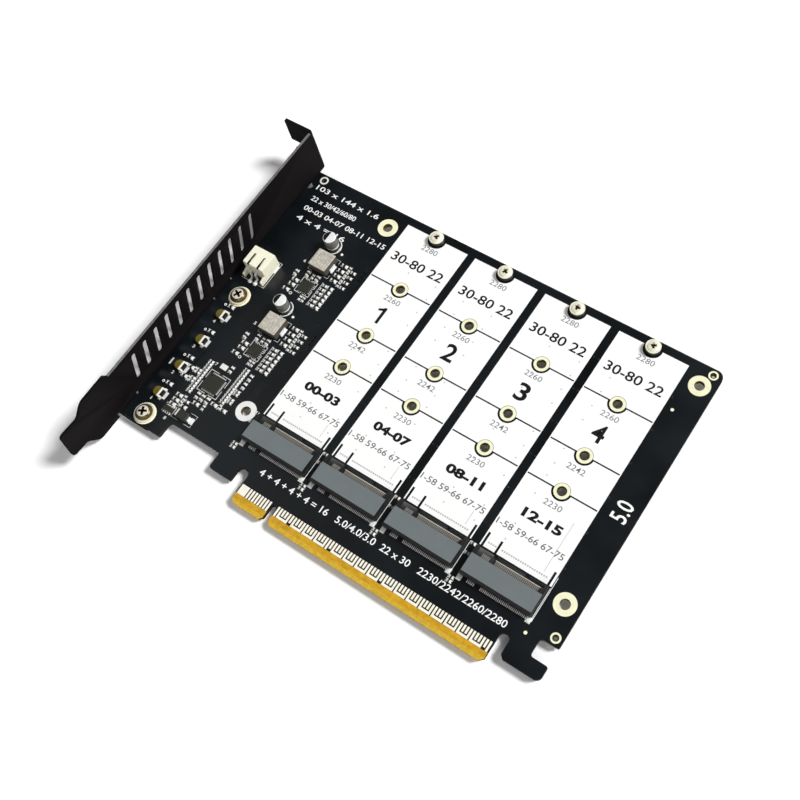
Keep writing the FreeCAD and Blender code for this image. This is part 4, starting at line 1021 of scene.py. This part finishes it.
# ---------------------------------------------------------------- parts
class CARD_OT_power_parts(bpy.types.Operator):
    """Pressed inductors and aluminium capacitors of the two regulators"""
    bl_idname = "card.power_parts"
    bl_label = "Power parts"

    def execute(self, context):
        for number in (1, 2):
            low, high = node_box(f"inductor_{number}")
            middle = (low + high) / 2
            choke = bmesh.new()
            add(choke, block(low, high, 0.26, 3))
            # Side faces take a dark brown finish and the top stays pale: painted shade on the
            # sides.
            for face in choke.faces:
                face.material_index = 1 if face.normal.z < 0.3 else 0
            finished(choke, f"choke_{number}", "ferrite ferrite_side", "ferrite_grey",
                     f"inductor_{number}")
            ends = bmesh.new()
            for low, high in solids(f"inductor_terminals_{number}"):
                add(ends, block(low, high, 0.1))
                side, x = (-1, low.x) if low.x < middle.x else (1, high.x)
                add(ends, block((x - side * 0.2, low.y - 0.12, FACE),
                                (x + side * 0.42, high.y + 0.12, FACE + 0.2), 0.08))
            finished(ends, f"choke_ends_{number}", "tin", "solder_tin",
                     f"inductor_terminals_{number}")
            softened(f"capacitor_base_{number}", f"can_base_{number}", "chip", "base_black",
                     0.07, 30.0, 1)
            low, high = node_box(f"capacitor_can_{number}")
            x, y = centre_of(low, high)
            radius, tall = (high.x - low.x) / 2, high.z - low.z
            can = bmesh.new()
            add(can, turned([(0, 0), (radius * 0.94, 0), (radius * 0.97, 0.25), (radius * 0.9, 0.5),
                             (radius * 0.9, 0.68), (radius, 0.95), (radius, tall - 0.3),
                             (radius * 0.97, tall - 0.12), (radius * 0.9, tall - 0.03),
                             (radius * 0.84, tall), (0, tall)], 48), at(x, y, low.z))
            # Side faces take a mid grey and the top stays near white: painted shade on the sides.
            for face in can.faces:
                face.material_index = 3 if face.normal.z < 0.5 else 0
            sector = arc((0, 0), radius * 0.88, 180 - CAN_SECTOR, 180 + CAN_SECTOR, 24)
            add(can, flat([sector], 0.012), at(x, y, high.z - 0.01), 1)
            for side in (-1, 1):
                add(can, pad(x + side * 2.5, y, 0.45, 0.35, 0.14, 0.05), None, 2)
            finished(can, f"can_{number}", "can dark_ink tin can_side", "can_silver",
                     f"capacitor_can_{number}")
        return {"FINISHED"}


class CARD_OT_chips(bpy.types.Operator):
    """Moulded chips with their pads, the crystal, the small chip and the diode"""
    bl_idname = "card.chips"
    bl_label = "Chips"

    def execute(self, context):
        for name in ("clock_chip", "regulator_chip_1", "regulator_chip_2"):
            low, high = node_box(name)
            chip, size = block(low, high, 0.06), high.x - low.x
            add(chip, disc(size * 0.05, 0.008, 18),
                at(low.x + size * 0.15, high.y - size * 0.15, high.z - 0.004), 2)
            count, margin = 12 if size > 5 else 6, 0.4
            for side in range(4):
                for i in range(count):
                    offset = -size / 2 + margin + i * (size - 2 * margin) / (count - 1)
                    add(chip, pad(offset, size / 2 + 0.225, 0.12, 0.275, 0.1, 0.03, base=0),
                        on_face(*centre_of(low, high), side * 90), 1)
            finished(chip, name + "_body", "chip tin dark_ink", "chip_black", name)

        low, high = node_box("clock_crystal")
        inset = Vector((0.15, 0.15, 0))
        crystal = block(low + inset + Vector((0, 0, 0.25)), high - inset, 0.12)
        add(crystal, block(low, (high.x, high.y, low.z + 0.3), 0.05, 1), None, 1)
        finished(crystal, "crystal", "can ceramic", "can_silver", "clock_crystal")

        low, high = node_box("small_chip")
        chip = block((low.x, low.y, low.z + 0.1), high, 0.1)
        for i in range(4):
            x = low.x + 0.42 + i * (high.x - low.x - 0.84) / 3
            for side in (-1, 1):
                y = (low.y + high.y) / 2 + side * 0.75
                for half, start, end, foot, head in (  # shoulder, leg and foot of a lead
                        (0.17, -0.2, 0.25, 0.3, 0.48), (0.17, side * 0.12, side * 0.3, 0, 0.46),
                        (0.19, side * 0.15, side * 0.75, 0, 0.14)):
                    add(chip, block((x - half, y + start, FACE + foot),
                                    (x + half, y + end, FACE + head), 0.05, 1), None, 1)
        finished(chip, "small_chip_body", "chip tin", "chip_black", "small_chip")

        low, high = node_box("diode")
        y = (low.y + high.y) / 2
        diode, leads = block(low, high, 0.16, 3), bmesh.new()
        add(diode, block((low.x + 0.45, low.y + 0.12, high.z - 0.01),
                         (low.x + 0.95, high.y - 0.12, high.z + 0.004)), None, 1)
        finished(diode, "diode_body", "chip grey_ink", "chip_black", "diode")
        for side, edge in ((-1, low.x), (1, high.x)):
            for start, end, half, tall, soft, steps in (  # leg, foot and solder
                    (-0.02, 0.22, 0.75, 1.15, 0.07, 2), (-0.02, 1.3, 0.8, 0.22, 0.08, 2),
                    (0.3, 1.6, 1.0, 0.07, 0.03, 1)):
                add(leads, block((edge + side * start, y - half, FACE),
                                 (edge + side * end, y + half, FACE + tall), soft, steps))
        finished(leads, "diode_ends", "tin", "solder_tin", "diode_leads")
        return {"FINISHED"}


class CARD_OT_small_parts(bpy.types.Operator):
    """Resistors and ceramic capacitors with metal ends and solder"""
    bl_idname = "card.small_parts"
    bl_label = "Small parts"

    def execute(self, context):
        parts = bmesh.new()
        ceramic, resistor, solder = range(3)
        for low, high in solids("small_parts"):
            size = high - low
            turn = 0 if size.x > size.y else 90
            length, width = max(size.xy), min(size.xy)
            centre = on_face(*centre_of(low, high), turn)
            cap = length * CAP_SHARE
            kind = resistor if int(abs(low.x * 7 + low.y * 3)) % 5 < 2 else ceramic
            top = size.z * 0.7 if kind == resistor else size.z - 0.03
            add(parts, pad(0, 0, length / 2 - cap * 0.8, width / 2 - 0.02, top - 0.03, base=0.03),
                centre, kind)
            for side in (-1, 1):
                end, neck = side * length / 2, side * (length / 2 - cap)
                metal = block((end, -width / 2, 0.02), (neck, width / 2, top + 0.03), CAP_EDGE, 1)
                add(parts, metal, centre, solder)
                slope = block((neck, -width / 2 - 0.06, 0),
                              (end + side * 0.3, width / 2 + 0.06, 0.24))
                for vert in slope.verts:
                    if vert.co.z > 0.1 and abs(vert.co.x) > length / 2:
                        vert.co.z = 0.06
                add(parts, slope, centre, solder)
        finished(parts, "chip_parts", "ceramic resistor tin", "ceramic_tan", "small_parts")
        return {"FINISHED"}


class CARD_OT_lamps(bpy.types.Operator):
    """Side-looking status lamps: amber lens, white frame and a tinned terminal"""
    bl_idname = "card.lamps"
    bl_label = "Status lamps"

    def execute(self, context):
        softened("status_led_lenses", "lamp_lenses", "lens", "lens_amber", 0.3, 60.0, 4)
        bodies = bmesh.new()
        housing, shade_window, lead = range(3)
        for low, high in solids("status_led_bodies"):
            arm, bar = 0.55, low.x + 0.62
            back = bar - 0.1
            for start, end, edge, steps, index in (
                    (low, (bar, high.y, high.z), 0.07, 2, housing),
                    ((back, low.y, low.z), (high.x, low.y + arm, high.z), 0.07, 2, housing),
                    ((back, high.y - arm, low.z), high, 0.07, 2, housing),
                    # A near-black block fills the housing's opening below its top: painted shade.
                    ((back, low.y + arm - 0.05, low.z),
                     (high.x - 0.03, high.y - arm + 0.05, high.z - 0.12), 0, 2, shade_window),
                    ((high.x - 0.05, low.y + 0.35, FACE),
                     (high.x + 0.95, high.y - 0.35, FACE + 0.16), 0.06, 2, lead),
                    ((low.x + 0.15, low.y - 0.42, FACE),
                     (high.x - 0.2, low.y + 0.18, FACE + 0.12), 0.05, 1, lead),
                    ((low.x + 0.15, high.y - 0.18, FACE),
                     (high.x - 0.2, high.y + 0.42, FACE + 0.12), 0.05, 1, lead)):
                add(bodies, block(start, end, edge, steps), None, index)
        finished(bodies, "lamp_bodies", "housing dark_ink lead", "led_white", "status_led_bodies")
        return {"FINISHED"}


# ---------------------------------------------------------------- stage
def seen(tree):
    """Light Path value that is 1 for what the camera, gloss and glass see."""
    path = place_node(tree, "LightPath")
    rays = path.outputs["Is Camera Ray"]
    for name in ("Is Glossy Ray", "Is Transmission Ray"):
        both = place_node(tree, "Math", operation="MAXIMUM")
        tree.links.new(rays, both.inputs[0])
        tree.links.new(path.outputs[name], both.inputs[1])
        rays = both.outputs[0]
    return rays


class CARD_OT_stage(bpy.types.Operator):
    """Pale floor, soft lamps and the camera"""
    bl_idname = "card.stage"
    bl_label = "Stage"

    def execute(self, context):
        scene = context.scene
        scene.view_settings.view_transform = "Standard"

        floor = bmesh.new()
        bmesh.ops.create_grid(floor, x_segments=1, y_segments=1, size=FLOOR_HALF)
        bmesh.ops.translate(floor, vec=(0, 0, CAD_BOX[0][2]), verts=floor.verts)
        material = bpy.data.materials.new("Pale Floor")
        tree = fresh_tree(material)
        shade = place_node(tree, "BsdfDiffuse")
        tone = place_node(tree, "Mix", data_type="RGBA")
        tone.inputs[6].default_value = (0.8, 0.8, 0.8, 1)
        tone.inputs[7].default_value = (1.12, 1.12, 1.12, 1)
        output = place_node(tree, "OutputMaterial")
        tree.links.new(seen(tree), tone.inputs[0])
        wire(tree, (tone, 2, shade, "Color"), (shade, 0, output, "Surface"))
        stage = linked("stage_floor", as_mesh(floor, "stage_floor"))
        stage.data.materials.append(material)

        scene.world = bpy.data.worlds.new("Studio")
        tree = fresh_tree(scene.world)
        where = place_node(tree, "TexCoord")
        axes = place_node(tree, "SeparateXYZ")
        height = place_node(tree, "MapRange", From_Min=0.12, From_Max=0.3, To_Min=1.0,
                            To_Max=0.1)
        air = place_node(tree, "Background", Color=(1.0, 1.0, 1.0, 1))
        output = place_node(tree, "OutputWorld")
        wire(tree, (where, "Generated", axes, 0), (axes, "Z", height, "Value"),
             (height, 0, air, "Strength"), (air, 0, output, "Surface"))

        for name, source, angle, energy in (("key", (0.55, 0.42, 0.72), 16, 3.2),
                                            ("fill", (0.45, -0.62, 0.64), 36, 0.6),
                                            ("side", (-0.62, -0.1, 0.78), 40, 0.22)):
            lamp = bpy.data.lights.new(name, "SUN")
            lamp.angle = math.radians(angle)
            lamp.energy = energy
            linked(name, lamp).rotation_euler = Vector(source).to_track_quat("Z", "Y").to_euler()

        camera = linked("camera", bpy.data.cameras.new("camera"))
        right = Vector((0.8353, 0.5414, -0.0959)).normalized()
        forward = Vector((-0.2838, 0.2751, -0.9186))
        forward = (forward - right * forward.dot(right)).normalized()
        turn = Matrix((right, right.cross(forward), -forward)).transposed().to_4x4()
        place = Vector((115.0, -21.5, 247.4)) * MM
        camera.matrix_world = Matrix.Translation(place) @ turn
        for setting, value in (("lens", 43.29), ("sensor_width", 36.0), ("shift_x", -0.1043),
                               ("shift_y", 0.0468), ("clip_start", 0.01), ("clip_end", 20.0)):
            setattr(camera.data, setting, value)
        scene.camera = camera
        return {"FINISHED"}


# ---------------------------------------------------------------- panel
OPERATORS = (CARD_OT_stage, CARD_OT_board, CARD_OT_traces, CARD_OT_plating, CARD_OT_print,
             CARD_OT_marks, CARD_OT_bracket, CARD_OT_screws, CARD_OT_sockets, CARD_OT_fan_header,
             CARD_OT_power_parts, CARD_OT_chips, CARD_OT_small_parts, CARD_OT_lamps)


class CARD_PT_panel(bpy.types.Panel):
    """Lists the pieces of the card"""
    bl_idname = "CARD_PT_panel"
    bl_label = "Drive adapter card"
    bl_space_type = "VIEW_3D"
    bl_region_type = "UI"
    bl_category = "Card"

    def draw(self, context):
        for group in (context.scene.card_colours, context.scene.card_sizes):
            box = self.layout.box()
            for key in group.bl_rna.properties.keys():
                if key not in ("rna_type", "name"):
                    box.prop(group, key)
        for operator in OPERATORS:
            self.layout.operator(operator.bl_idname)


CLASSES = (CardColours, CardSizes) + OPERATORS + (CARD_PT_panel,)


def register():
    for cls in CLASSES:
        bpy.utils.register_class(cls)
    bpy.types.Scene.card_colours = bpy.props.PointerProperty(type=CardColours)
    bpy.types.Scene.card_sizes = bpy.props.PointerProperty(type=CardSizes)


def unregister():
    del bpy.types.Scene.card_sizes
    del bpy.types.Scene.card_colours
    for cls in reversed(CLASSES):
        bpy.utils.unregister_class(cls)


def main():
    register()
    for operator in OPERATORS:
        group, name = operator.bl_idname.split(".")
        getattr(getattr(bpy.ops, group), name)()


if __name__ == "__main__":
    main()
